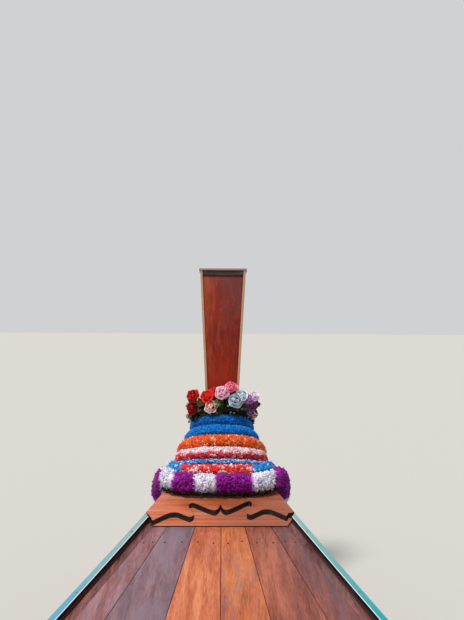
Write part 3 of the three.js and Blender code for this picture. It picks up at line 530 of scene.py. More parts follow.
def named(name):
    """The active object, with its mesh, under this name."""
    piece = bpy.context.active_object
    piece.name = piece.data.name = name
    return piece


def primitive(kind, name, place=Matrix.Identity(4), **settings):
    """A primitive of bpy.ops.mesh, with its place in its mesh."""
    bpy.ops.object.select_all(action="DESELECT")
    getattr(bpy.ops.mesh, f"primitive_{kind}_add")(**settings)
    piece = named(name)
    piece.data.transform(place)
    return piece


def joined(pieces, name):
    """One piece from several."""
    only(*pieces)
    bpy.ops.object.join()
    return named(name)


def towards(centre, direction, axis="Z", up="Y"):
    """A matrix that moves to a centre and turns an axis to a direction."""
    turned = Vector(direction).normalized().to_track_quat(axis, up).to_matrix().to_4x4()
    return Matrix.Translation(centre) @ turned


def stud(x, y, z, radius, depth):
    """A small round head."""
    place = Matrix.Translation((x, y, z))
    return primitive("cylinder", "stud", place, vertices=10, radius=radius, depth=depth)


def rod(start, end, radius, sides=6):
    """A round or many-sided rod between two places."""
    a, b = Vector(start), Vector(end)
    place = towards((a + b) / 2, b - a)
    return primitive("cylinder", "rod", place, vertices=sides, radius=radius, depth=(b - a).length)


def ring(centre, axis, radius, thick):
    """A ring about an axis."""
    return primitive("torus", "ring", towards(centre, axis), major_radius=radius, minor_radius=thick,
                     major_segments=28, minor_segments=8)


def block(low, high):
    """A box between two corners."""
    a, b = Vector(low), Vector(high)
    return primitive("cube", "block", Matrix.Translation((a + b) / 2) @ Matrix.Diagonal((*(b - a), 1)),
                     size=1)


def tube(name, points, radius, resolution=3, closed=False):
    """A round bar through these places: a closed loop, or smooth with capped ends."""
    curve = bpy.data.curves.new(name, "CURVE")
    curve.dimensions = "3D"
    curve.bevel_depth = radius
    curve.bevel_resolution = resolution
    curve.use_fill_caps = not closed
    spline = curve.splines.new("POLY" if closed else "NURBS")
    spline.points.add(len(points) - 1)
    for point, place in zip(spline.points, points):
        point.co = (*place, 1)
    spline.use_cyclic_u = closed
    if not closed:
        spline.order_u = 3
        spline.use_endpoint_u = True
    only(add(name, curve))
    bpy.ops.object.convert(target="MESH")
    return bpy.context.active_object


def detail(pieces, name, material, slot, body="hull", bevel=0.0):
    """Small parts as one piece that rides on a body. Those on moving bodies are placed about MOTOR."""
    piece = joined(pieces, name)
    if body != "hull":
        piece.data.transform(Matrix.Translation(MOTOR))
    if bevel:
        rounded(piece, bevel, sharp=40)
    shaded(piece, 36)
    return settle(piece, body, material, slot)


def template(piece):
    """A piece's places and triangles as arrays. Its object isn't kept."""
    mesh = piece.data
    mesh.calc_loop_triangles()
    places = np.empty(len(mesh.vertices) * 3)
    mesh.vertices.foreach_get("co", places)
    corners = np.empty(len(mesh.loop_triangles) * 3, dtype=np.int32)
    mesh.loop_triangles.foreach_get("vertices", corners)
    bpy.data.objects.remove(piece)
    return places.reshape(-1, 3), corners.reshape(-1, 3)


def scatter(name, copies):
    """One piece from many copies: each a template with its light, a 4 by 4 matrix and a colour."""
    places, triangles, shades = [], [], []
    count = 0
    for (points, faces, light), matrix, shade in copies:
        matrix = np.array(matrix)
        places.append(points @ matrix[:3, :3].T + matrix[:3, 3])
        triangles.append(faces + count)
        shades.append(np.clip(light[:, None] * np.array(shade), 0, 1))
        count += len(points)
    corners = np.concatenate(triangles)
    shades = np.concatenate(shades)
    mesh = bpy.data.meshes.new(name)
    mesh.vertices.add(count)
    mesh.vertices.foreach_set("co", np.concatenate(places).ravel())
    mesh.loops.add(corners.size)
    mesh.loops.foreach_set("vertex_index", corners.ravel())
    mesh.polygons.add(len(corners))
    mesh.polygons.foreach_set("loop_start", np.arange(0, corners.size, 3))
    mesh.update(calc_edges=True)
    attribute = mesh.attributes.new("petal", "FLOAT_COLOR", "POINT")
    attribute.data.foreach_set("color", np.column_stack([shades, np.ones(count)]).ravel())
    return add(name, mesh)


def fair_sheer(y):
    """Height of the sheer as it is drawn, for a number or a shader value."""
    return SHEER[0] + SHEER[1] * y + SHEER[2] * y * y


def sheer(y):
    """Height of the sheer as it is built, straight between the hull's stations."""
    return float(np.interp(y, STATIONS, [fair_sheer(s) for s in STATIONS]))


def corners_of(node):
    """A CAD node's vertices as an array."""
    return np.array([vertex.co for vertex in NODES[node].data.vertices])


def read_breadths():
    """Half the hull's breadth at the sheer at each station, from the rub rail's outer face."""
    places = corners_of("rub_rail_starboard")
    return [places[np.abs(places[:, 1] - s) < 0.03, 0].max() - RUB_OUT for s in STATIONS[:-1]] + [0.05]


BREADTHS = read_breadths()


def half_breadth(y):
    """Half the hull's breadth at the sheer."""
    return float(np.interp(y, STATIONS, BREADTHS))


class Step:
    """What the operators share: each makes one group of pieces."""

    def execute(self, context):
        self.make(context.scene)
        return {"FINISHED"}


# Stage

FLOOR_GAP = 0.012                # from the hull's skin in to the edge of the floor's opening
FLOOR_STEP = 0.02                # between the points of that edge along y
SUN_DIRECTION = Vector((0.42, 0.3, -1.0))
SUN_COLOUR = (1.0, 0.96, 0.9)
SKY_COLOUR = (0.9, 0.91, 0.93, 1)


def waterline():
    """The hull's outline at the water, half of it, as points of x and y from aft to fore."""
    skins = []
    for name in STRAKES:
        mesh = NODES[f"strake_{name}_starboard"].data
        skins.append(BVHTree.FromPolygons([vertex.co for vertex in mesh.vertices],
                                          [face.vertices for face in mesh.polygons]))
    outline = []
    for y in np.arange(CAD_LOW[1], CAD_HIGH[1], FLOOR_STEP):
        hits = [skin.ray_cast(Vector((3, y, 0)), Vector((-1, 0, 0)))[0] for skin in skins]
        out = max((hit.x for hit in hits if hit), default=0)
        if out > FLOOR_GAP:
            outline.append((out - FLOOR_GAP, y))
    return outline


class BOAT_OT_stage(Step, bpy.types.Operator):
    """Floor with the hull's opening, soft light and the camera"""

    bl_idname = "boat.stage"
    bl_label = "Stage"

    def make(self, scene):
        settings = scene.boat_stage
        self.floor(settings)
        self.lights(scene)
        self.camera(scene, settings)
        scene.view_settings.view_transform = "Standard"

    def floor(self, settings):
        half = waterline()
        loop = half + [(-x, y) for x, y in reversed(half)]
        reach = settings.floor_reach
        corners = [(-reach, -reach), (reach, -reach), (reach, reach), (-reach, reach)]
        work = bmesh.new()
        for outline in (loop, corners):
            edge = [work.verts.new((x, y, 0)) for x, y in outline]
            for a, b in zip(edge, edge[1:] + edge[:1]):
                work.edges.new((a, b))
        bmesh.ops.triangle_fill(work, edges=work.edges[:], use_beauty=True)
        for face in work.faces:
            if face.normal.z < 0:
                face.normal_flip()
        mesh = bpy.data.meshes.new("floor")
        work.to_mesh(mesh)
        work.free()
        r = Recipe("stage_floor")
        r.set(Base_Color=settings.floor, Roughness=0.75, Specular_IOR_Level=0.2)
        mesh.materials.append(r.material)
        add("floor", mesh)

    def lights(self, scene):
        key = bpy.data.lights.new("key", "SUN")
        key.energy = 2.7
        key.angle = math.radians(9)
        key.color = SUN_COLOUR
        add("key", key).rotation_euler = SUN_DIRECTION.to_track_quat("-Z", "Y").to_euler()
        scene.world = bpy.data.worlds.new("studio")
        scene.world.use_nodes = True
        background = scene.world.node_tree.nodes["Background"]
        background.inputs["Color"].default_value = SKY_COLOUR
        background.inputs["Strength"].default_value = 0.7

    def camera(self, scene, settings):
        lens = bpy.data.cameras.new("camera")
        lens.lens = settings.lens
        lens.sensor_width = 36
        lens.clip_start = 0.05
        turned = Matrix.Identity(4)
        for angle, axis in ((-settings.yaw, "Z"), (math.pi / 2 + settings.pitch, "X"),
                            (-settings.roll, "Z")):
            turned @= Matrix.Rotation(angle, 4, axis)
        scene.camera = add("camera", lens)
        scene.camera.matrix_world = Matrix.Translation(settings.eye) @ turned


# Hull

STRIPE = (-0.125, -0.1)          # lower and upper edge of the stripe, from the sheer
SCREWS = (22, -4.5, 0.37)        # how many in a rail, the first one's y and their spacing
SCREW_RADIUS, SCREW_DEPTH, SCREW_RISE = 0.0035, 0.002, 0.0007


def above_sheer(r):
    """Height over the sheer, for a material."""
    return r.axis("z") - fair_sheer(r.axis("y"))


def stripe(r):
    """The share of the stripe's paint under the rub rail, with soft edges."""
    height = above_sheer(r)
    low, high = STRIPE
    return r.step(height, low, low + 0.002) * (1 - r.step(height, high, high + 0.002))


class BOAT_OT_planking(Step, bpy.types.Operator):
    """Strakes, transom, keel and stem"""

    bl_idname = "boat.planking"
    bl_label = "Planking"

    def make(self, scene):
        settings = scene.boat_hull
        outside = painted("topsides", settings.topsides, "5b4638", 0.7,
                          settings.stripe, stripe)
        inside = painted("inside", settings.inside, "6a5242", 0.8, rough=0.5)
        bottom = painted("bottom", settings.bottom, "4a3a30", 0.9, rough=0.6)
        edge = wood("edge")
        for name in STRAKES:
            low = name in ("garboard", "bilge")
            skin, slot = (bottom, "bottom_paint") if low else (outside, "topsides_paint")
            for side in SIDES:
                self.turn_inside(dress(f"strake_{name}_{side}", [skin, inside, edge], slot, 0.002, 2))
        dress("transom", outside, "topsides_paint", 0.003)
        dress("keel", bottom, "bottom_paint", 0.004, 1)
        dress("stem", wood("stem"), "prow_varnish", 0.004)

    def turn_inside(self, piece):
        """Gives a strake's inner face the second material, and its top edge, in the gap under the rail,
        the third: a near-black wood painted as shade.
        """
        for face in piece.data.polygons:
            axis = Vector((0, face.center.y, 0.5))
            # painted shade in the gap between rail and waterway
            if face.normal.z > 0.8 and face.center.z > sheer(face.center.y) - 0.02:
                face.material_index = 2
            elif face.normal.dot(axis - face.center) > 0:
                face.material_index = 1


class BOAT_OT_rails(Step, bpy.types.Operator):
    """Gunwales with their screws, rub rails and waterways"""

    bl_idname = "boat.rails"
    bl_label = "Rails"

    def make(self, scene):
        settings = scene.boat_deck
        rub, dark = wood("rub"), wood("waterway")
        rails = (("starboard", settings.rail_starboard, "rail_turquoise"),
                 ("port", settings.rail_port, "rail_pale_blue"))
        for side, shade, slot in rails:
            node = f"gunwale_{side}"
            rail = copy_of(node, "dressed_" + node)
            self.mark_across(rail)
            soften(rail, settings.bevel, 2)
            settle(rail, "hull", self.rail_paint(side, shade), slot, node)
            dress(f"rub_rail_{side}", rub, "rub_varnish", 0.006, 2)
            dress(f"waterway_{side}", dark, "dark_wood", 0.0015, 2)
            self.screws(side, slot)

    def mark_across(self, rail):
        """Marks the rail's outer corners 0 and its inner corners 1."""
        marks = [(half_breadth(vertex.co.y) + RAIL_OUT - abs(vertex.co.x)) / RAIL_WIDTH
                 for vertex in rail.data.vertices]
        rail.data.attributes.new("across", "FLOAT", "POINT").data.foreach_set("value", marks)

    def rail_paint(self, side, shade):
        """Paint that turns paler towards the bow, with a white line along the inner edge, and black on
        the inner face below it: painted shadow.
        """
        r = Recipe("rail_paint_" + side)
        patch = r.noise((30, 3, 30), 6.0, 0.65)
        # paler and greyer towards the bow
        paler_forward = r.step(r.axis("y") + patch * 0.6, 3.0, 3.7)
        paint = r.mix(paler_forward * 0.75, shade, colour("93a6a0"))
        across = r.attribute("across", 2) + patch * 0.03
        paint = r.mix(r.step(across, 0.83, 0.86), paint, colour("d2d6da"))
        # painted shadow on the rail's inner face: black, and dark brown near its foot
        foot = 1 - r.step(above_sheer(r), 0.012, 0.015)
        dark = r.mix(foot, colour("1d1718"), colour("5a3530"))
        paint = r.mix(r.step(across, 0.95, 0.99), paint, dark)
        grime = r.step(r.noise((18, 9, 18), 7.0, 0.7, offset=(4, 2, 1)), 0.5, 0.8)
        paint = r.mix(grime * 0.2, paint, colour("52686a"))
        chips = r.step(r.noise((120, 40, 120), 8.0, 0.7) + patch * 0.2, 0.77, 0.8)
        r.set(Base_Color=r.mix(chips * 0.8, paint, colour("6d6458")),
              Roughness=patch * 0.25 + 0.45, Specular_IOR_Level=0.12)
        r.bump(patch * 0.6 - chips, 0.0005)
        return r.material

    def screws(self, side, slot):
        """Screw heads along the middle of the rail."""
        heads = []
        for y in evenly(*SCREWS):
            x = SIDES[side] * (half_breadth(y) + RAIL_OUT - RAIL_WIDTH / 2)
            heads.append(stud(x, y, sheer(y) + RAIL_TOP + SCREW_RISE, SCREW_RADIUS, SCREW_DEPTH))
        piece = joined(heads, f"rail_screws_{side}")
        rounded(piece, 0.0006, segments=1)
        settle(piece, "hull", metal("screw_" + side, colour("7a756a"), 0.5), slot)


# Foredeck

DECK_PLANKS = {f"deck_plank_{i}": "deck_orange_varnish" if i in (3, 4) else "deck_grey_varnish"
               for i in range(1, 7)}
PLUG_Y = 3.225
PLUG_PLACES = (0.24, 0.76)       # across a plank, as shares of its width
BOARD_AFT = corners_of("cover_board")[:, 1].min()
FRET_HALF = 0.336                # the fretwork's half-width, and how far forward it reaches
FRET_FORE = 3.53
# width of the painted shadow strip along the fretwork's foot
SHADOW_STRIP_WIDTH = 0.013
SHADOW_STRIP_ORDER = Vector((1, 0.317, 0.0713))  # its mesh is sorted this way, the same in each run


def plank_edges(node, y):
    """The two edges of a deck plank at y, from its vertices."""
    places = corners_of(node)
    ys = np.unique(places[:, 1].round(3))
    across = [places[np.abs(places[:, 1] - s) < 0.002, 0] for s in ys]
    return [float(np.interp(y, ys, [edge(xs) for xs in across])) for edge in (np.min, np.max)]


def board_wood(settings, name, seed):
    """Orange varnish with the grain across the boat, darker towards starboard with the garlands'
    painted shadow.
    """
    base = settings.board
    return varnished(name, lighter(base, -0.62), base, lighter(base, 0.16), seed, grain="x",
                     stain=0.3, stain_colour="c28a7c",
                     # painted shadow of the garlands: darker towards starboard
                     painted_shade=lambda r: r.step(r.axis("x") + r.axis("y") * 0.5, 1.5, 1.85) * 0.6)


class BOAT_OT_deck(Step, bpy.types.Operator):
    """Foredeck planks, their frame, the fascia and the stern deck"""

    bl_idname = "boat.deck"
    bl_label = "Decks"

    def make(self, scene):
        settings = scene.boat_deck
        for node, slot in DECK_PLANKS.items():
            dress(node, wood(node), slot, settings.bevel, 2)
        dress("foredeck_frame", wood("frame"), "dark_wood", 0.004)
        dress("foredeck_fascia", board_wood(settings, "fascia_wood", 7.0), "board_varnish", 0.004)
        dress("stern_deck", wood("stern_deck"), "deck_grey_varnish", 0.003)
        self.plugs(settings)

    def plugs(self, settings):
        """Dark plugs over the nails, in pairs at the planks' fore ends."""
        plugs = []
        rng = random.Random(3)
        for node in DECK_PLANKS:
            left, right = plank_edges(node, PLUG_Y)
            for share in PLUG_PLACES:
                y = PLUG_Y + rng.uniform(-0.008, 0.008)
                x = left + (right - left) * share
                plugs.append(stud(x, y, sheer(y) + DECK_TOP, settings.plug, 0.003))
        settle(joined(plugs, "deck_plugs"), "hull", wood("plug"), "dark_wood")


class BOAT_OT_cover_board(Step, bpy.types.Operator):
    """Cover board with its fretted edge"""

    bl_idname = "boat.cover_board"
    bl_label = "Cover board"

    def make(self, scene):
        dark = wood("fret")
        woods = [board_wood(scene.boat_deck, "board_wood", 1.0), dark]
        board = dress("cover_board", woods, "board_varnish", 0.002)
        # painted shade: the fretwork's upright faces and the board's aft edge get the dark wood
        for face in board.data.polygons:
            on_aft_edge = face.normal.y < -0.6 and face.center.y < BOARD_AFT + 0.004
            if on_aft_edge or self.on_fret(face.center, face.normal):
                face.material_index = 1
        self.shadow_strip(dark)

    def on_fret(self, centre, normal):
        """Whether a face is on the upright edge of the fretwork."""
        return (abs(normal.z) < 0.5 and abs(centre.x) < FRET_HALF and centre.y < FRET_FORE
                and centre.z > sheer(centre.y) + LEDGE_TOP + 0.002)

    def shadow_strip(self, dark):
        """Painted shadow: a dark strip let into the ledge along the fretwork's foot, where the board's
        shadow falls.
        """
        strip = copy_of("cover_board", "fret_shadow_strip")
        work = bmesh.new()
        work.from_mesh(strip.data)
        others = [face for face in work.faces
                  if not self.on_fret(face.calc_center_median(), face.normal)]
        bmesh.ops.delete(work, geom=others, context="FACES")
        made = bmesh.ops.extrude_face_region(work, geom=work.faces[:])
        moved = [item for item in made["geom"] if isinstance(item, bmesh.types.BMVert)]
        bmesh.ops.translate(work, verts=moved, vec=Vector((0, -SHADOW_STRIP_WIDTH, 0)))
        for vertex in work.verts:
            foot = sheer(vertex.co.y) + LEDGE_TOP
            vertex.co.z = foot + (0.0016 if vertex.co.z > foot + 0.008 else -0.001)
        work.verts.sort(key=lambda vertex: vertex.co.dot(SHADOW_STRIP_ORDER))
        work.faces.sort(key=lambda face: face.calc_center_median().dot(SHADOW_STRIP_ORDER))
        work.to_mesh(strip.data)
        work.free()
        settle(strip, "hull", dark, "dark_wood")


# Prow

PROW_Y = 4.19
PROW_TOP = 2.185
PROW_LEAN = math.radians(12)
PROW_FOOT = sheer(PROW_Y) + BOARD_TOP + 0.003
PROW_HEIGHT = (PROW_TOP - PROW_FOOT) / math.cos(PROW_LEAN)
PROW_FRAME = Matrix.Translation((0, PROW_Y, PROW_FOOT)) @ Matrix.Rotation(-PROW_LEAN, 4, "X")
BAND_SIZE = (0.274, 0.007, 0.032)
BAND_PLACE = (0, -0.0042, PROW_HEIGHT - 0.0175)


class BOAT_OT_prow(Step, bpy.types.Operator):
    """Prow board with its painted edges and cap"""

    bl_idname = "boat.prow"
    bl_label = "Prow"

    def make(self, scene):
        settings = scene.boat_deck
        dress("prow_board", self.varnish(settings), "prow_varnish", 0.003)
        cream = painted("trim_paint", settings.cream, "8a5a3a", 0.6, grain="z")
        cap = painted("cap_paint", colour("8f8078"), "5a3d30", 0.8, grain="x", rough=0.5)
        trim = dress("prow_trim", [cream, cap], "cream_paint", 0.002)
        upright = PROW_FRAME.inverted()
        for face in trim.data.polygons:
            if (upright @ face.center).z > PROW_HEIGHT:
                face.material_index = 1
        place = PROW_FRAME @ Matrix.Translation(BAND_PLACE) @ Matrix.Diagonal((*BAND_SIZE, 1))
        band = primitive("cube", "prow_band", place, size=1)
        rounded(band, 0.0015)
        settle(band, "hull", wood("band"), "dark_wood")

    def varnish(self, settings):
        """Deep red varnish, orange along the port edge, with a painted grey-lilac reflection towards
        the top.
        """
        r = Recipe("prow_wood")
        lean = (PROW_LEAN, 0, 0)
        fine = r.noise((170, 170, 4), 7.0, 0.6, rotation=lean)
        band = r.noise((42, 42, 0.9), 3.0, 0.5, 0.6, offset=(3, 0, 0), rotation=lean)
        patch = r.noise((8, 8, 3), 5.0, 0.62, 0.6, offset=(5, 1, 2), rotation=lean)
        base = settings.prow
        shade = r.ramp(fine * 0.4 + band * 0.6, (0.32, lighter(base, -0.4)), (0.52, base),
                       (0.7, colour("9a3c22")))
        port = r.step(0 - r.axis("x") + (band - 0.5) * 0.16, 0.03, 0.14)
        shade = r.mix(port * 0.45, shade, colour("a84a28"))
        # painted reflection: grey-mauve towards the top, reaching lower on the starboard side
        high = r.step(r.axis("z") + r.axis("x") * 1.5 + (patch - 0.5) * 1.2, 1.75, 2.3)
        shade = r.mix(high * 0.6, shade, colour("5f3c40"))
        low = 1 - r.step(r.axis("z") + (patch - 0.5) * 0.4, 1.4, 1.66)
        shade = r.mix(low * 0.6, shade, colour("a02410"))
        r.set(Base_Color=shade, Roughness=high * 0.15 + fine * 0.12 + 0.3, Coat_Weight=0.06,
              Coat_Roughness=0.2, Specular_IOR_Level=0.15)
        r.bump(fine * 0.6 + band * 0.4, 0.0006)
        return r.material


# Garlands

GARLANDS = [
    # node, aft y, half-width, fore y, radius, raised, squareness of the aft corners, floret size
    ("garland_base", 3.580, 0.337, 4.500, 0.050, 0, 0.48, 1.15),
    ("garland_red_white", 3.700, 0.300, 4.515, 0.039, -0.0145, 0.52, 0.95),
    ("garland_light_blue", 3.752, 0.275, 4.528, 0.014, 0.0064, 0.56, 0.7),
    ("garland_pink", 3.826, 0.252, 4.540, 0.040, -0.0015, 0.62, 0.95),
    ("garland_orange", 3.948, 0.240, 4.555, 0.048, -0.0045, 0.68, 1.05),
    ("garland_blue", 4.048, 0.206, 4.568, 0.042, -0.0076, 0.7, 0.85),
    ("garland_dark_blue", 4.129, 0.172, 4.582, 0.044, -0.0104, 0.7, 0.85),
    ("flower_wreath", 4.156, 0.182, 4.606, 0.046, -0.0075, 0.7, 0),
]
GARLAND_SLOPE = 0.6
GARLAND_SPACING = 1.03           # from one to the next, by the sum of their radii
GARLAND_TAPER = 0.5              # how much narrower a loop is at its front
FRONT_SQUARENESS = 0.7
GARLAND_POINTS = 240
POINT_SPREAD = 0.2               # moves points from a loop's corners to its straight stretches
PRESSED = 0.984                  # flat sides let two garlands lie closer than their radii
BEND_ROOM = 0.004
CLEAR = 0.0009
# Corners of the hull's edge in section that a garland bends over: out from the sheer, and up
EDGE_CORNERS = ((RAIL_OUT, BOARD_TOP), (RUB_OUT, -0.045), (RUB_OUT, -0.09))
PETALS = {name: colour(text) for name, text in {
    "purple": "8e0c8c", "violet": "ac2ab0", "white": "f0ecff", "lilac": "d0c6f8", "red": "ec3030",
    "scarlet": "f4482e", "pale": "fbe0e6", "blue": "1c7ad0", "sky": "22a0ec", "pink": "ee4e6c",
    "rose": "f6aabc", "orange": "ff6e22", "peach": "ffc4a4", "deep": "0480da", "navy": "026cc4",
    "maroon": "2e0a0e", "leaf": "2c3216",
}.items()}
# Colours of each garland, or of a stretch of it, and how often each one comes up
MIXES = {
    "purple": {"purple": 5, "violet": 1},
    "white": {"white": 4, "lilac": 1},
    "garland_red_white": {"red": 7, "scarlet": 3, "pale": 3, "pink": 1},
    "red_white_ends": {"sky": 6, "blue": 3, "white": 1},
    "garland_light_blue": {"blue": 6, "white": 2, "sky": 1},
    "garland_pink": {"red": 7, "pink": 2, "pale": 1},
    "pink_top": {"pale": 6, "rose": 3, "white": 1},
    "garland_orange": {"orange": 10, "scarlet": 4, "peach": 1.2},
    "garland_blue": {"deep": 5, "blue": 1},
    "garland_dark_blue": {"navy": 5, "deep": 1},
}
# Edges of the base garland's colour blocks in x at its aft face, from a purple one to a purple one
BLOCK_EDGES = (-0.302, -0.233, -0.129, -0.030, 0.153, 0.267)
BLOCK_LENGTH = 0.115             # of the even blocks round the front
BLOCK_NOTCH = (0.009, 0.022)     # depth and half-width of the notches between blocks
BLOCK_FACE = 0.16                # the blocks are set by x up to here from the aft point
RED_WHITE_ENDS = (-0.21, 0.168)  # where the red and white florets end in x
RED_WHITE_FACE = 0.25            # and how far forward they reach
FLORET_SPACING = 1.12            # between florets, by their size
FLORET_SINK = 0.55               # how deep they sit in the skin, by their size
HIDDEN_SIDE = math.pi + 0.35     # angle in the section of the side that lies on other garlands
HIDDEN_SHARE = 0.62              # how near that side florets are left out, as a cosine
FRINGE_HALF, FRINGE_FACE = 0.29, 0.1  # how far to each side and how far forward the fringe goes
TUFT_SPACING, TUFT_SIZE = 0.006, 0.011
CORE_SIDES, CORE_ROWS = 12, 160


def over_edge(x, y, radius):
    """Lowest height at which a garland clears the hull's edge."""
    heights = [-math.inf]
    if y <= STATIONS[-1]:
        for out, up in EDGE_CORNERS:
            beyond = max(0, x - half_breadth(y) - out)
            reach = radius + BEND_ROOM * min(1, beyond / (radius / 3))
            if beyond < reach:
                heights.append(sheer(y) + up + math.sqrt(reach ** 2 - beyond ** 2))
    return max(heights) + CLEAR


class Garland:
    """A closed loop laid round the prow: its centre line and its section."""

    def __init__(self, row, top, laid):
        self.node, self.aft, self.half, self.fore, self.radius, _, self.squareness, self.floret = row
        self.top = top
        self.points = np.array([self.at(2 * math.pi * i / GARLAND_POINTS, laid)
                                for i in range(GARLAND_POINTS)])
        heights = self.points[:, 2]
        for _ in range(16):
            heights = np.maximum(heights, (np.roll(heights, 1) + np.roll(heights, -1)) / 2)
        self.points[:, 2] = heights
        self.steps = np.linalg.norm(np.roll(self.points, -1, axis=0) - self.points, axis=1)
        self.run = np.concatenate([[0], np.cumsum(self.steps)])
        self.length = self.run[-1]

    def at(self, turned, laid):
        """The centre line's point at a share of a turn from its aft point."""
        angle = turned - POINT_SPREAD * math.sin(4 * turned)
        sine, cosine = math.sin(angle), math.cos(angle)
        power = self.squareness if cosine > 0 else FRONT_SQUARENESS
        forward = (1 - math.copysign(abs(cosine) ** power, cosine)) / 2
        x = self.half * math.copysign(abs(sine) ** power, sine) * (1 - GARLAND_TAPER * forward ** 2)
        y = self.aft + (self.fore - self.aft) * forward
        heights = [self.top - GARLAND_SLOPE * (y - self.aft), over_edge(abs(x), y, self.radius)]
        heights += [lower.under(x, y, self.radius) for lower in laid]
        return x, y, max(heights)

    def under(self, x, y, radius):
        """Lowest height at which a garland laid over this one clears it."""
        reach = PRESSED * (radius + self.radius) + CLEAR
        away = np.hypot(x - self.points[:, 0], y - self.points[:, 1])
        near = away < reach
        return (self.points[near, 2] + np.sqrt(reach ** 2 - away[near] ** 2)).max(initial=-math.inf)

    def frame_at(self, distance):
        """Place on the centre line, and the two normals of the section: outwards and up."""
        distance %= self.length
        i = int(np.searchsorted(self.run, distance, side="right")) - 1
        share = (distance - self.run[i]) / self.steps[i]
        a, b = self.points[i], self.points[(i + 1) % len(self.points)]
        ahead = Vector(b - a).normalized()
        out = ahead.cross(Vector((0, 0, 1))).normalized()
        return Vector(a + (b - a) * share), out, out.cross(ahead).normalized()


def lay_garlands():
    """Every garland in order: parallel loops, one garland's thickness apart."""
    tilt = math.atan(GARLAND_SLOPE)
    laid = []
    for row in GARLANDS:
        _, aft, _, _, radius, raised, _, _ = row
        if laid:
            last = laid[-1]
            spacing = GARLAND_SPACING * (last.radius + radius)
            top += raised + (spacing - (aft - last.aft) * math.sin(tilt)) / math.cos(tilt)
        else:
            top = fair_sheer(aft) + BOARD_TOP + radius + CLEAR
        laid.append(Garland(row, top, laid))
    return {garland.node: garland for garland in laid}


LAID = lay_garlands()


def floret(seed, points):
    """One closed spiky floret of radius 1, its face towards +Z, as arrays with a light a vertex."""
    rng = random.Random(seed)
    piece = primitive("cone", "floret", vertices=points * 2, radius1=1, radius2=0, depth=0.5,
                      end_fill_type="TRIFAN")
    for vertex in piece.data.vertices:
        if math.hypot(vertex.co.x, vertex.co.y) > 0.5:
            tip = round(math.atan2(vertex.co.y, vertex.co.x) / (math.pi / points)) % 2 == 0
            grow = rng.uniform(0.95, 1.2) if tip else rng.uniform(0.55, 0.72)
            vertex.co.x *= grow
            vertex.co.y *= grow
            vertex.co.z = rng.uniform(0.1, 0.55) if tip else 0.1
        else:
            vertex.co.z = -0.05 if vertex.co.z > 0 else -0.8
    places, triangles = template(piece)
    light = np.clip(0.6 + 0.5 * np.hypot(places[:, 0], places[:, 1]), 0, 1.15)
    return places, triangles, light


def petal_colour(garland, place, normal, distance, rng):
    """The colour of a floret by where it lies on its garland."""
    mix = garland.node
    if mix == "garland_base":
        on_aft_face = place.y < garland.aft + BLOCK_FACE
        index = bisect.bisect(BLOCK_EDGES, place.x) if on_aft_face else int(distance / BLOCK_LENGTH) + 1
        mix = ("purple", "white")[index % 2]
    elif mix == "garland_red_white":
        low, high = RED_WHITE_ENDS
        if place.y > garland.aft + RED_WHITE_FACE or not low < place.x < high:
            mix = "red_white_ends"
    elif mix == "garland_pink" and normal.z > 0.5:
        mix = "pink_top"
    shares = MIXES[mix]
    return PETALS[rng.choices(list(shares), list(shares.values()))[0]]


def aimed(at, facing, scale, rng):
    """A matrix that sets a template at a place, its face turned that way."""
    return towards(at, facing) @ Matrix.Rotation(rng.uniform(0, 6.28), 4, "Z") @ Matrix.Scale(scale, 4)


def leaning(direction, spread, rng):
    """A direction turned a little at random."""
    return direction + Vector([rng.gauss(0, spread) for _ in range(3)])


def skin(garland, distance, angle, depth):
    """A place under a garland's skin, and the normal there. The angle runs from outwards to up."""
    place, out, up = garland.frame_at(distance)
    normal = (out * math.cos(angle) + up * math.sin(angle)).normalized()
    return place + normal * (garland.radius - depth), normal


def notch(garland, distance):
    """How deep the florets lie: the base garland's colour blocks bulge, with notches between."""
    if garland.node != "garland_base":
        return 0
    x = garland.frame_at(distance)[0].x
    depth, half = BLOCK_NOTCH
    return depth * max(0, 1 - min(abs(x - edge) for edge in BLOCK_EDGES) / half)


def fluffy(garland, size, rng, templates):
    """Florets all over a garland, save where it lies against the others."""
    around = max(7, round(2 * math.pi * garland.radius / (size * FLORET_SPACING)))
    rows = round(garland.length / (size * FLORET_SPACING))
    copies = []
    for i in range(rows):
        for k in range(around):
            angle = (k + (i % 2) / 2 + rng.uniform(-0.3, 0.3)) * 2 * math.pi / around
            if math.cos(angle - HIDDEN_SIDE) > HIDDEN_SHARE:
                continue
            distance = (i + rng.uniform(-0.35, 0.35)) * garland.length / rows
            depth = size * FLORET_SINK + notch(garland, distance)
            at, normal = skin(garland, distance, angle, depth)
            shade = np.array(petal_colour(garland, at, normal, distance % garland.length, rng))
            copies.append((rng.choice(templates),
                           aimed(at, leaning(normal, 0.3, rng), size * rng.uniform(0.85, 1.2), rng),
                           shade * rng.uniform(0.8, 1.25)))
    return copies


def fringe(garland, rng, templates):
    """Dark tufts along the foot of the base garland."""
    copies = []
    count = round(garland.length / TUFT_SPACING)
    for i in range(count):
        at, normal = skin(garland, i * garland.length / count, rng.uniform(-1.0, -0.5), -0.004)
        if at.y > garland.aft + FRINGE_FACE or abs(at.x) > FRINGE_HALF:
            continue
        at.z = max(at.z, sheer(at.y) + BOARD_TOP + 0.004)
        shade = PETALS["leaf" if rng.random() < 0.12 else "maroon"]
        copies.append((rng.choice(templates), aimed(at, leaning(normal, 0.4, rng), TUFT_SIZE, rng),
                       np.array(shade) * rng.uniform(0.5, 1.3)))
    return copies


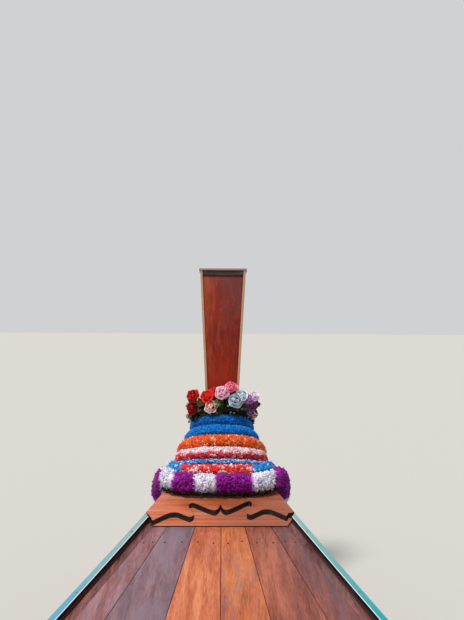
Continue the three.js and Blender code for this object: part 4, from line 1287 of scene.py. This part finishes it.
def core(garland, share, shade_at):
    """The body under a garland's petals, as a template with its matrix and a colour at each place."""
    places, shades, triangles = [], [], []
    for i in range(CORE_ROWS):
        distance = i * garland.length / CORE_ROWS
        this, after = i * CORE_SIDES, (i + 1) % CORE_ROWS * CORE_SIDES
        for k in range(CORE_SIDES):
            angle = 2 * math.pi * k / CORE_SIDES
            at, normal = skin(garland, distance, angle, garland.radius * (1 - share))
            places.append(at)
            shades.append(shade_at(at, normal, distance))
            beside = (k + 1) % CORE_SIDES
            triangles += [(this + k, after + k, this + beside),
                          (this + beside, after + k, after + beside)]
    # painted shade: the body under the petals is lit at 0.8 all over
    arrays = (np.array(places), np.array(triangles), np.full(len(places), 0.8))
    return arrays, Matrix.Identity(4), shades


class BOAT_OT_garlands(Step, bpy.types.Operator):
    """Garlands of florets round the prow"""

    bl_idname = "boat.garlands"
    bl_label = "Garlands"

    def make(self, scene):
        settings = scene.boat_garlands
        rng = random.Random(settings.seed)
        florets = [floret(seed, points) for seed, points in ((1, 4), (2, 5), (3, 5), (4, 4))]
        material = petals("petals", 0.6)
        for node, garland in LAID.items():
            if not garland.floret:
                continue
            copies = fluffy(garland, settings.floret * garland.floret, rng, florets)
            copies.append(core(garland, 0.86, lambda *where: petal_colour(garland, *where, rng)))
            slot = "garland_purple" if node == "garland_base" else node
            settle(scatter("petals_" + node, copies), "hull", material, slot, node)
        tufts = scatter("garland_fringe", fringe(LAID["garland_base"], rng, florets))
        settle(tufts, "hull", material, "garland_purple")


# Flower wreath

ROSES = [
    # x, height over the wreath, how far ahead of its aft point, scale, colour of the petals
    (-0.172, 0.064, 0.00, 1.05, "c4201a"), (-0.088, 0.060, -0.02, 1.1, "e83222"),
    (-0.040, 0.080, 0.02, 0.95, "e03c36"), (0.002, 0.082, -0.03, 1.18, "ffc8da"),
    (0.058, 0.116, -0.02, 1.0, "ff88a6"), (-0.068, 0.002, -0.03, 1.05, "ffd2ca"),
    (-0.022, 0.026, -0.02, 0.7, "8f9450"), (0.082, 0.038, -0.04, 1.2, "bccbd6"),
    (0.118, 0.064, -0.02, 1.05, "d2dfe8"), (0.160, 0.044, -0.01, 0.9, "c884ce"),
    (0.198, 0.060, 0.00, 0.85, "efe2f6"), (0.192, 0.026, 0.01, 0.8, "9a4a8c"),
    (-0.176, -0.012, 0.00, 1.0, "8e1a14"), (0.150, 0.002, 0.00, 0.75, "6f5a66"),
    (-0.128, 0.020, 0.00, 0.7, "9a8a5c"), (0.036, 0.020, -0.01, 0.7, "3c4a20"),
]
WREATH_SHADES = ("d2261c", "f29cb4", "e6dcea", "b879b4", "f2b8b0", "e03a26", "d5dfe6")
BUD_SHADES = ("e8e4dc", "d8c8d8", "c9a8a0")
PALE_LEAVES = ("8c8a5e", "b5a888")
LEAF_SHADES = ("1e3814", "2e4a18", "142214", "4c5a26", "2a2214", "1a3020")
ROSE_RINGS = (
    # how many petals, their distance from the middle, lean in degrees, width, height
    (3, 0.1, 6, 0.34, 0.72), (4, 0.26, 20, 0.48, 0.76),
    (5, 0.4, 42, 0.56, 0.74), (6, 0.5, 68, 0.6, 0.7),
)
SIDE_ROSES, SIDE_START = 34, 0.17     # how many roses off the aft face, and where they start
LEAVES, LEAVES_A_ROSE, BUDS = 420, 8, 150


def thin_sheet(name, columns, rows, shape):
    """A thin closed sheet. shape gives a place from u, -1 to 1 across, and w, 0 to 1 along."""
    piece = primitive("grid", name, x_subdivisions=columns, y_subdivisions=rows, size=2)
    for vertex in piece.data.vertices:
        vertex.co = shape(vertex.co.x, (vertex.co.y + 1) / 2)
    apply(piece, "SOLIDIFY", thickness=0.03, offset=0)
    return piece


def petal_of_rose(width, height, curl):
    """One petal, cupped across and curled at its rim."""
    def shape(u, w):
        span = math.sin(math.pi * min(1, 0.18 + 0.62 * w)) ** 0.7 * width
        return u * span, 0.14 * (1 - u * u) * w - curl * w ** 4, w * height
    return thin_sheet("petal", 4, 4, shape)


def rose_template(seed):
    """A rose of radius 1 that opens towards +Z."""
    rng = random.Random(seed)
    noise.seed_set(seed)
    parts = []
    for count, reach, lean, width, height in ROSE_RINGS:
        for k in range(count):
            petal = petal_of_rose(width * rng.uniform(0.8, 1.2), height * rng.uniform(0.82, 1.12),
                                  rng.uniform(0.1, 0.34))
            angle = 2 * math.pi * k / count + reach * 5 + rng.uniform(-0.2, 0.2)
            tilt = Matrix.Rotation(-math.radians(lean + rng.uniform(-14, 14)), 4, "X")
            petal.data.transform(Matrix.Rotation(angle, 4, "Z")
                                 @ Matrix.Translation((0, reach * 0.55, 0.28 - reach * 0.45)) @ tilt)
            parts.append(petal)
    rose = joined(parts, "rose")
    edit(rose, "normals_make_consistent", inside=False)
    for vertex in rose.data.vertices:
        vertex.co += noise.noise_vector(vertex.co * 2.2 + Vector((seed * 7.3, 0, 0))) * 0.13
    places, triangles = template(rose)
    reach = np.hypot(places[:, 0], places[:, 1])
    # painted light: darker at the rose's middle, lighter at its rim and top
    return places, triangles, np.clip(0.5 + 0.62 * reach + 0.32 * places[:, 2], 0.4, 1.25)


def leaf_template():
    """A folded leaf of length 1 along +Y, closed."""
    def shape(u, w):
        span = 0.27 * math.sin(math.pi * min(1, w * 0.92 + 0.06)) ** 0.8
        return u * span, w, abs(u) * 0.1 - 0.35 * w * w
    piece = thin_sheet("leaf", 2, 5, shape)
    edit(piece, "normals_make_consistent", inside=False)
    places, triangles = template(piece)
    # painted light: brighter along the leaf's middle, darker towards its edges
    return places, triangles, np.clip(1.0 - np.abs(places[:, 0]) * 1.2, 0.5, 1.1)


class BOAT_OT_wreath(Step, bpy.types.Operator):
    """Wreath of roses and leaves above the garlands"""

    bl_idname = "boat.wreath"
    bl_label = "Wreath"

    def make(self, scene):
        settings = scene.boat_garlands
        rng = random.Random(settings.seed + 1)
        wreath = LAID["flower_wreath"]
        roses = [rose_template(seed) for seed in (1, 2, 3)]
        copies = self.aft_roses(wreath, settings.rose, rng, roses)
        copies += self.other_roses(wreath, settings.rose, rng, roses)
        copies += self.leaves(wreath, rng, leaf_template())
        copies += self.buds(wreath, rng, floret(9, 4))
        copies.append(core(wreath, 0.72, lambda *where: colour("2a3a1c")))
        piece = scatter("roses_flower_wreath", copies)
        settle(piece, "hull", petals("rose_petals", 0.5), "flowers", "flower_wreath")

    def aft_roses(self, wreath, radius, rng, roses):
        """The large roses that face aft."""
        copies = []
        for x, high, fore, scale, shade in ROSES:
            at = Vector((x, wreath.aft + fore, wreath.top + high))
            facing = Vector((x * 2.2 + rng.uniform(-0.25, 0.25), -1.0, 0.5 + high * 4))
            copies.append((rng.choice(roses), aimed(at, facing, radius * scale, rng), colour(shade)))
        return copies

    def other_roses(self, wreath, radius, rng, roses):
        """Roses on the wreath's sides and front, in two staggered rows."""
        copies = []
        for i in range(SIDE_ROSES):
            distance = SIDE_START + (wreath.length - 2 * SIDE_START) * i / (SIDE_ROSES - 1)
            angle = 0.15 + 0.75 * (i % 2) + rng.uniform(-0.15, 0.15)
            at, normal = skin(wreath, distance, angle, 0.022)
            shade = colour(rng.choice(WREATH_SHADES))
            copies.append((rng.choice(roses), aimed(at, leaning(normal, 0.15, rng),
                                                    radius * rng.uniform(0.8, 1.0), rng), shade))
        return copies

    def leaves(self, wreath, rng, leaf):
        """Leaves under and between the roses."""
        copies = []

        def lay(at, facing, shortest, longest, scale, shades):
            matrix = (towards(at, facing, "Y", "Z") @ Matrix.Rotation(rng.uniform(0, 6.28), 4, "Y")
                      @ Matrix.Scale(rng.uniform(shortest, longest) * scale, 4))
            copies.append((leaf, matrix, colour(rng.choice(shades))))

        for i in range(LEAVES):
            at, normal = skin(wreath, i * wreath.length / LEAVES, rng.uniform(-1.9, 2.4), 0.026)
            lay(at, leaning(normal, 0.45, rng), 0.032, 0.052, 1, LEAF_SHADES)
        for x, high, fore, scale, _ in ROSES:
            foot = Vector((x, wreath.aft + fore + 0.045, wreath.top + high - 0.045))
            for k in range(LEAVES_A_ROSE):
                angle = 2 * math.pi * (k + rng.uniform(0, 0.6)) / LEAVES_A_ROSE
                facing = Vector((math.sin(angle), rng.uniform(-0.5, 0.1), 0.35 + math.cos(angle)))
                shades = PALE_LEAVES + LEAF_SHADES if x < 0 else LEAF_SHADES
                lay(foot, facing, 0.045, 0.062, scale, shades)
        return copies

    def buds(self, wreath, rng, bud):
        """Small pale flowers at the wreath's foot."""
        copies = []
        for _ in range(BUDS):
            angle = rng.uniform(-1.2, 0.6)
            at, normal = skin(wreath, rng.uniform(0, wreath.length), angle, -0.004)
            copies.append((bud, aimed(at, normal, rng.uniform(0.005, 0.009), rng),
                           colour(rng.choice(BUD_SHADES))))
        return copies


# Inside of the hull


class BOAT_OT_interior(Step, bpy.types.Operator):
    """Ribs, floorboards and benches"""

    bl_idname = "boat.interior"
    bl_label = "Interior"

    def make(self, scene):
        frames = painted("frame_paint", scene.boat_hull.frames, "6e5140", 0.9)
        for side in SIDES:
            dress(f"ribs_{side}", frames, "seat_paint", 0.003)
        for i in (1, 2, 3, 4):
            dress(f"thwart_{i}", frames, "seat_paint", 0.004)
        dress("floorboards", wood("floor"), "floor_wood", 0.003)


# Canopy

BOWS = (-2.935, -2.3, -1.65, -1.0, -0.35, 0.3, 0.935)
ARCH_FOOT, ARCH_RISE, ARCH_HALF = 1.96, 0.28, 0.9
CLOTH_OVER_ARCH = 0.0428
CLOTH_HALF, CLOTH_AFT, CLOTH_FORE = 0.955, -2.985, 0.985
CLOTH_MIDDLE, CLOTH_REACH = (CLOTH_AFT + CLOTH_FORE) / 2, (CLOTH_FORE - CLOTH_AFT) / 2
EYELETS, EYELET_X, EYELET_AFT, EYELET_RUN = 18, 0.925, -2.94, 3.88
HEM_STEPS = 24


def on_cloth(x, y, sag):
    """The cloth's place over x and y: on the bows' arch, and hanging between two bows."""
    arch = ARCH_FOOT + ARCH_RISE * (1 - (x / ARCH_HALF) ** 2) + CLOTH_OVER_ARCH
    hang = 0.0
    for aft, fore in zip(BOWS, BOWS[1:]):
        if aft < y < fore:
            hang = math.sin(math.pi * (y - aft) / (fore - aft)) ** 1.4
    return Vector((x, y, arch - hang * sag * (1 - 0.6 * (x / 0.96) ** 2)))


class BOAT_OT_canopy(Step, bpy.types.Operator):
    """Canopy posts, bows, cloth and hem"""

    bl_idname = "boat.canopy"
    bl_label = "Canopy"

    def make(self, scene):
        hull = scene.boat_hull
        posts = painted("post_paint", hull.inside, wear=0.7, grain="z")
        bows = painted("bow_paint", hull.frames, wear=0.7, grain="x")
        for side in SIDES:
            dress(f"canopy_side_{side}", posts, "inside_paint", 0.003)
        dress("canopy_bows", bows, "seat_paint", 0.003)
        self.cloth(scene.boat_canopy)

    def cloth(self, settings):
        sheet = primitive("grid", "canopy_cloth", x_subdivisions=56, y_subdivisions=120, size=2)
        for vertex in sheet.data.vertices:
            x, y, _ = vertex.co
            vertex.co = on_cloth(x * CLOTH_HALF, CLOTH_MIDDLE + y * CLOTH_REACH, settings.sag)
        across = [on_cloth(CLOTH_HALF * (i / 32 - 1), CLOTH_AFT, settings.sag) for i in range(65)]
        apply(sheet, "SOLIDIFY", thickness=settings.thickness, offset=1)
        shaded(sheet, 40)
        settle(sheet, "hull", canvas("canopy_canvas", settings.cloth), "canvas", "canopy_sheet")
        hem = self.hem(settings)
        self.eyelets(settings)

    def eyelets(self, settings):
        """Brass eyelets along the cloth's two long edges."""
        eyes = []
        for y in evenly(EYELETS, EYELET_AFT, EYELET_RUN / (EYELETS - 1)):
            edge = on_cloth(EYELET_X, y, settings.sag)
            slope = (on_cloth(EYELET_X + 0.01, y, settings.sag).z - edge.z) / 0.01
            for side in (1, -1):
                centre = (side * edge.x, y, edge.z + 0.0018)
                eyes.append(ring(centre, (-side * slope, 0, 1), 0.0085, 0.0022))
        brass = metal("eyelet_brass", colour("b59a5a"), 0.2, 0.35, 0.9, "5a4a26")
        detail(eyes, "canopy_eyelets", brass, "canvas")

    def hem(self, settings):
        """Rolled hem round the cloth's edge."""
        corners = [(-CLOTH_HALF, CLOTH_AFT), (CLOTH_HALF, CLOTH_AFT),
                   (CLOTH_HALF, CLOTH_FORE), (-CLOTH_HALF, CLOTH_FORE)]
        points = [on_cloth(x0 + (x1 - x0) * i / HEM_STEPS, y0 + (y1 - y0) * i / HEM_STEPS, settings.sag)
                  for (x0, y0), (x1, y1) in zip(corners, corners[1:] + corners[:1])
                  for i in range(HEM_STEPS)]
        hem = tube("canopy_hem", points, settings.hem, 2, closed=True)
        bpy.ops.object.shade_smooth()
        shade = lighter(settings.cloth, -0.25)
        return settle(hem, "hull", canvas("hem_canvas", shade), "canvas")


# Engine

MOTOR = Vector((0, -4.45, 1.05))  # the trunnion's centre, from which the places below are measured
TAIL = 3.88                       # from there to the shaft tube's end
ENGINE_NODES = [
    # node, body, finish, bevel
    ("engine_post", "hull", "steel", 0.002),
    ("engine_swivel", "swivel", "steel", 0.002),
    ("engine_cradle", "engine", "rusty", 0.003),
    ("engine_block", "engine", "paint", 0.005),
    ("engine_head", "engine", "paint", 0.006),
    ("exhaust", "engine", "rusty", 0.003),
    ("air_filter", "engine", "plastic", 0.003),
    ("shaft_tube", "engine", "steel", 0.0015),
    ("tiller", "engine", "steel", 0.002),
    ("propeller", "propeller", "bronze", 0.001),
]
CASTINGS = [
    # x, half-thickness, aft y, fore y, low z, high z, how many, spacing along y
    (0.132, 0.004, 0.14, 0.154, -0.05, 0.165, 6, 0.085),
    (-0.132, 0.004, 0.14, 0.154, -0.05, 0.165, 6, 0.085),
    (0.131, 0.006, 0.13, 0.585, 0.158, 0.176, 1, 0),
    (-0.131, 0.006, 0.13, 0.585, 0.158, 0.176, 1, 0),
    (0, 0.062, 0.185, 0.197, 0.322, 0.331, 5, 0.085),
]
BOLTS = [
    # x, y, z, what it spans along x, y and z, radius, sides, how many, spacing along y
    (0.102, 0.14, 0.258, (0, 0, 0.014), 0.009, 6, 6, 0.085),
    (-0.102, 0.14, 0.258, (0, 0, 0.014), 0.009, 6, 6, 0.085),
    (0.1, 0.2, -0.078, (0.018, 0, 0), 0.007, 6, 4, 0.11),
    (-0.1, 0.2, -0.078, (-0.018, 0, 0), 0.007, 6, 4, 0.11),
    (0, 0.64, -0.01, (0, 0.012, 0), 0.022, 6, 1, 0),
    (-0.175, 0.588, 0.08, (0, 0.052, 0), 0.03, 20, 1, 0),
    (0, 0.48, 0.347, (0, 0, 0.013), 0.03, 12, 1, 0),
]
BELL_BOLTS = (8, 0.136, 0.2)     # how many, radius of their circle, angle of the first
POST_BOLTS = (6, 0.088)
SILENCER_RISE = 0.0524           # by its length
CLAMPS = [
    # centre, axis, radius, thickness
    *(((0.19, y, 0.403328 - y * SILENCER_RISE), (0, -1, SILENCER_RISE), 0.0555, 0.004)
      for y in (-0.33, -0.49, -0.65)),
    ((-0.205, 0.25, 0.265), (0, 0, 1), 0.0785, 0.003),
    ((-0.205, 0.25, 0.325), (0, 0, 1), 0.0785, 0.003),
    ((0.06, 0.62, 0.22), (0, 1, 0), 0.0185, 0.003),
]
PULLEYS = [
    # centre, radius of the belt round it
    (Vector((0, 0.617, -0.01)), 0.082),
    (Vector((-0.175, 0.617, 0.08)), 0.033),
]
COOLANT_PIPE = [(0.06, 0.585, 0.22), (0.06, 0.66, 0.22), (0.1, 0.69, 0.12), (0.12, 0.66, 0.02),
                (0.11, 0.596, -0.02)]
FILTER_NECK = [(-0.16, 0.25, 0.3), (-0.12, 0.24, 0.35), (-0.07, 0.2, 0.34), (-0.05, 0.2, 0.3)]
COLLARS = (-0.6, -1.2, -1.8, -2.4, -3.0, 0.06 - TAIL)
GRIP = Vector((0, 1.475, 0.2328)), Vector((0, 1.685, 0.2613))
GRIP_TURNS = 31


def circle(count, radius, first=0.0):
    """Evenly spaced places on a circle, as pairs."""
    angles = evenly(count, first, 2 * math.pi / count)
    return [(radius * math.cos(angle), radius * math.sin(angle)) for angle in angles]


class BOAT_OT_engine(Step, bpy.types.Operator):
    """Engine, its cradle and post, the shaft tube, tiller and propeller"""

    bl_idname = "boat.engine"
    bl_label = "Engine"

    def make(self, scene):
        settings = scene.boat_engine
        bronze = metal("propeller_bronze", settings.bronze, 0.1, 0.28, 0.95, "4e5a3a")
        finishes = {
            # material, slot
            "steel": (metal("tail_steel", settings.steel, 0.35), "black_steel"),
            "rusty": (metal("rusty_steel", colour("5f4a3f"), 0.85, 0.55), "rusty_steel"),
            "paint": (metal("engine_paint", settings.paint, 0.35, 0.4, 0.25), "engine_paint"),
            "plastic": (metal("filter_black", colour("1f2123"), 0.0, 0.5, 0.0), "filter_plastic"),
            "bronze": (bronze, "bronze"),
            "bright": (metal("bolt_steel", colour("8d8b86"), 0.3, 0.35, 0.8), "black_steel"),
            "rubber": (metal("rubber", colour("17181a"), 0.0, 0.62, 0.0), "filter_plastic"),
        }
        for node, body, finish, bevel in ENGINE_NODES:
            dress(node, *finishes[finish], bevel, body=body, sharp=36)
        # name, finish, body, bevel, pieces
        for name, finish, body, bevel, pieces in (
                ("block_ribs", "paint", "engine", 0.002, self.ribs),
                ("engine_bolts", "bright", "engine", 0.001, self.bolts),
                ("post_bolts", "bright", "hull", 0.001, self.post_bolts),
                ("fan_belt", "rubber", "engine", 0, self.belt),
                ("engine_pipes", "steel", "engine", 0, self.pipes),
                ("engine_clamps", "bright", "engine", 0, self.clamps),
                ("tube_collars", "steel", "engine", 0.002, self.collars),
                ("tiller_wrapping", "rubber", "engine", 0, self.wrapping),
                ("propeller_nut", "bronze", "propeller", 0.001, self.nut)):
            detail(pieces(), name, *finishes[finish], body, bevel)

    def ribs(self):
        """Ribs and flanges cast on the block and its head."""
        return [block((x - half, aft + y, low), (x + half, fore + y, high))
                for x, half, aft, fore, low, high, count, spacing in CASTINGS
                for y in evenly(count, 0, spacing)]

    def bolts(self):
        """Bolts of head, sump and bell, the pulleys' hubs and the filler cap."""
        bolts = [rod((x, y, z), Vector((x, y, z)) + Vector(span), radius, sides)
                 for x, first, z, span, radius, sides, count, spacing in BOLTS
                 for y in evenly(count, first, spacing)]
        return bolts + [rod((x, 0.098, z), (x, 0.108, z), 0.008) for x, z in circle(*BELL_BOLTS)]

    def post_bolts(self):
        """Bolts through the post's foot plate."""
        plate = sheer(MOTOR.y - 0.11) + 0.048
        return [rod((x, MOTOR.y + y, plate), (x, MOTOR.y + y, plate + 0.014), 0.011)
                for x, y in circle(*POST_BOLTS)]

    def belt(self):
        """Fan belt: an arc round each pulley, joined by straight runs."""
        (crank, wide), (fan, narrow) = PULLEYS
        across = fan - crank
        turned = math.atan2(across.z, across.x)
        spread = math.acos((wide - narrow) / across.length)
        points = []
        for centre, radius, start, stop in ((crank, wide, spread, 2 * math.pi - spread),
                                            (fan, narrow, -spread, spread)):
            for angle in evenly(17, turned + start, (stop - start) / 16):
                points.append(centre + Vector((radius * math.cos(angle), 0, radius * math.sin(angle))))
        return [tube("belt", points, 0.005, closed=True)]

    def pipes(self):
        """The coolant pipe from head to block, and the air filter's neck."""
        return [tube("pipe", COOLANT_PIPE, 0.017), tube("neck", FILTER_NECK, 0.014)]

    def clamps(self):
        """Clamps on silencer, air filter and pipe, and the filter's wing nut."""
        nut = rod((-0.205, 0.25, 0.338), (-0.205, 0.25, 0.35), 0.012)
        return [ring(*row) for row in CLAMPS] + [nut]

    def collars(self):
        """Weld collars along the shaft tube, and the lowest bolt of the bell."""
        rings = [rod((0, y - 0.02, 0), (0, y + 0.02, 0), 0.037, 20) for y in COLLARS]
        return rings + [rod((0.05, -0.31, 0.07), (-0.05, -0.31, 0.07), 0.01)]

    def wrapping(self):
        """The wrapping of the tiller's grip."""
        start, end = GRIP
        return [ring(start.lerp(end, i / (GRIP_TURNS - 1)), end - start, 0.0248, 0.0038)
                for i in range(GRIP_TURNS)]

    def nut(self):
        """The propeller's nut."""
        return [rod((0, -TAIL - 0.111, 0), (0, -TAIL - 0.126, 0), 0.024)]


GROUPS = {
    "boat_stage": StageSettings,
    "boat_deck": DeckSettings,
    "boat_hull": HullSettings,
    "boat_garlands": GarlandSettings,
    "boat_canopy": CanopySettings,
    "boat_engine": EngineSettings,
}
STEPS = (BOAT_OT_stage, BOAT_OT_planking, BOAT_OT_rails, BOAT_OT_deck, BOAT_OT_cover_board,
         BOAT_OT_prow, BOAT_OT_garlands, BOAT_OT_wreath, BOAT_OT_interior, BOAT_OT_canopy,
         BOAT_OT_engine)


class BOAT_PT_panel(bpy.types.Panel):
    """The boat's steps and settings in the sidebar"""

    bl_idname = "BOAT_PT_panel"
    bl_label = "Longtail Boat"
    bl_space_type = "VIEW_3D"
    bl_region_type = "UI"
    bl_category = "Boat"

    def draw(self, context):
        for step in STEPS:
            self.layout.operator(step.bl_idname)
        for group, settings in GROUPS.items():
            box = self.layout.box()
            for name in settings.__annotations__:
                box.prop(getattr(context.scene, group), name)


def register():
    """Registers the settings, the operators and the panel."""
    for group, settings in GROUPS.items():
        bpy.utils.register_class(settings)
        setattr(bpy.types.Scene, group, bpy.props.PointerProperty(type=settings))
    for step in (*STEPS, BOAT_PT_panel):
        bpy.utils.register_class(step)


def unregister():
    """Removes what register added."""
    for step in (BOAT_PT_panel, *reversed(STEPS)):
        bpy.utils.unregister_class(step)
    for group, settings in GROUPS.items():
        delattr(bpy.types.Scene, group)
        bpy.utils.unregister_class(settings)


def main():
    """Makes every piece."""
    register()
    for step in STEPS:
        group, name = step.bl_idname.split(".")
        getattr(getattr(bpy.ops, group), name)()


if __name__ == "__main__":
    main()
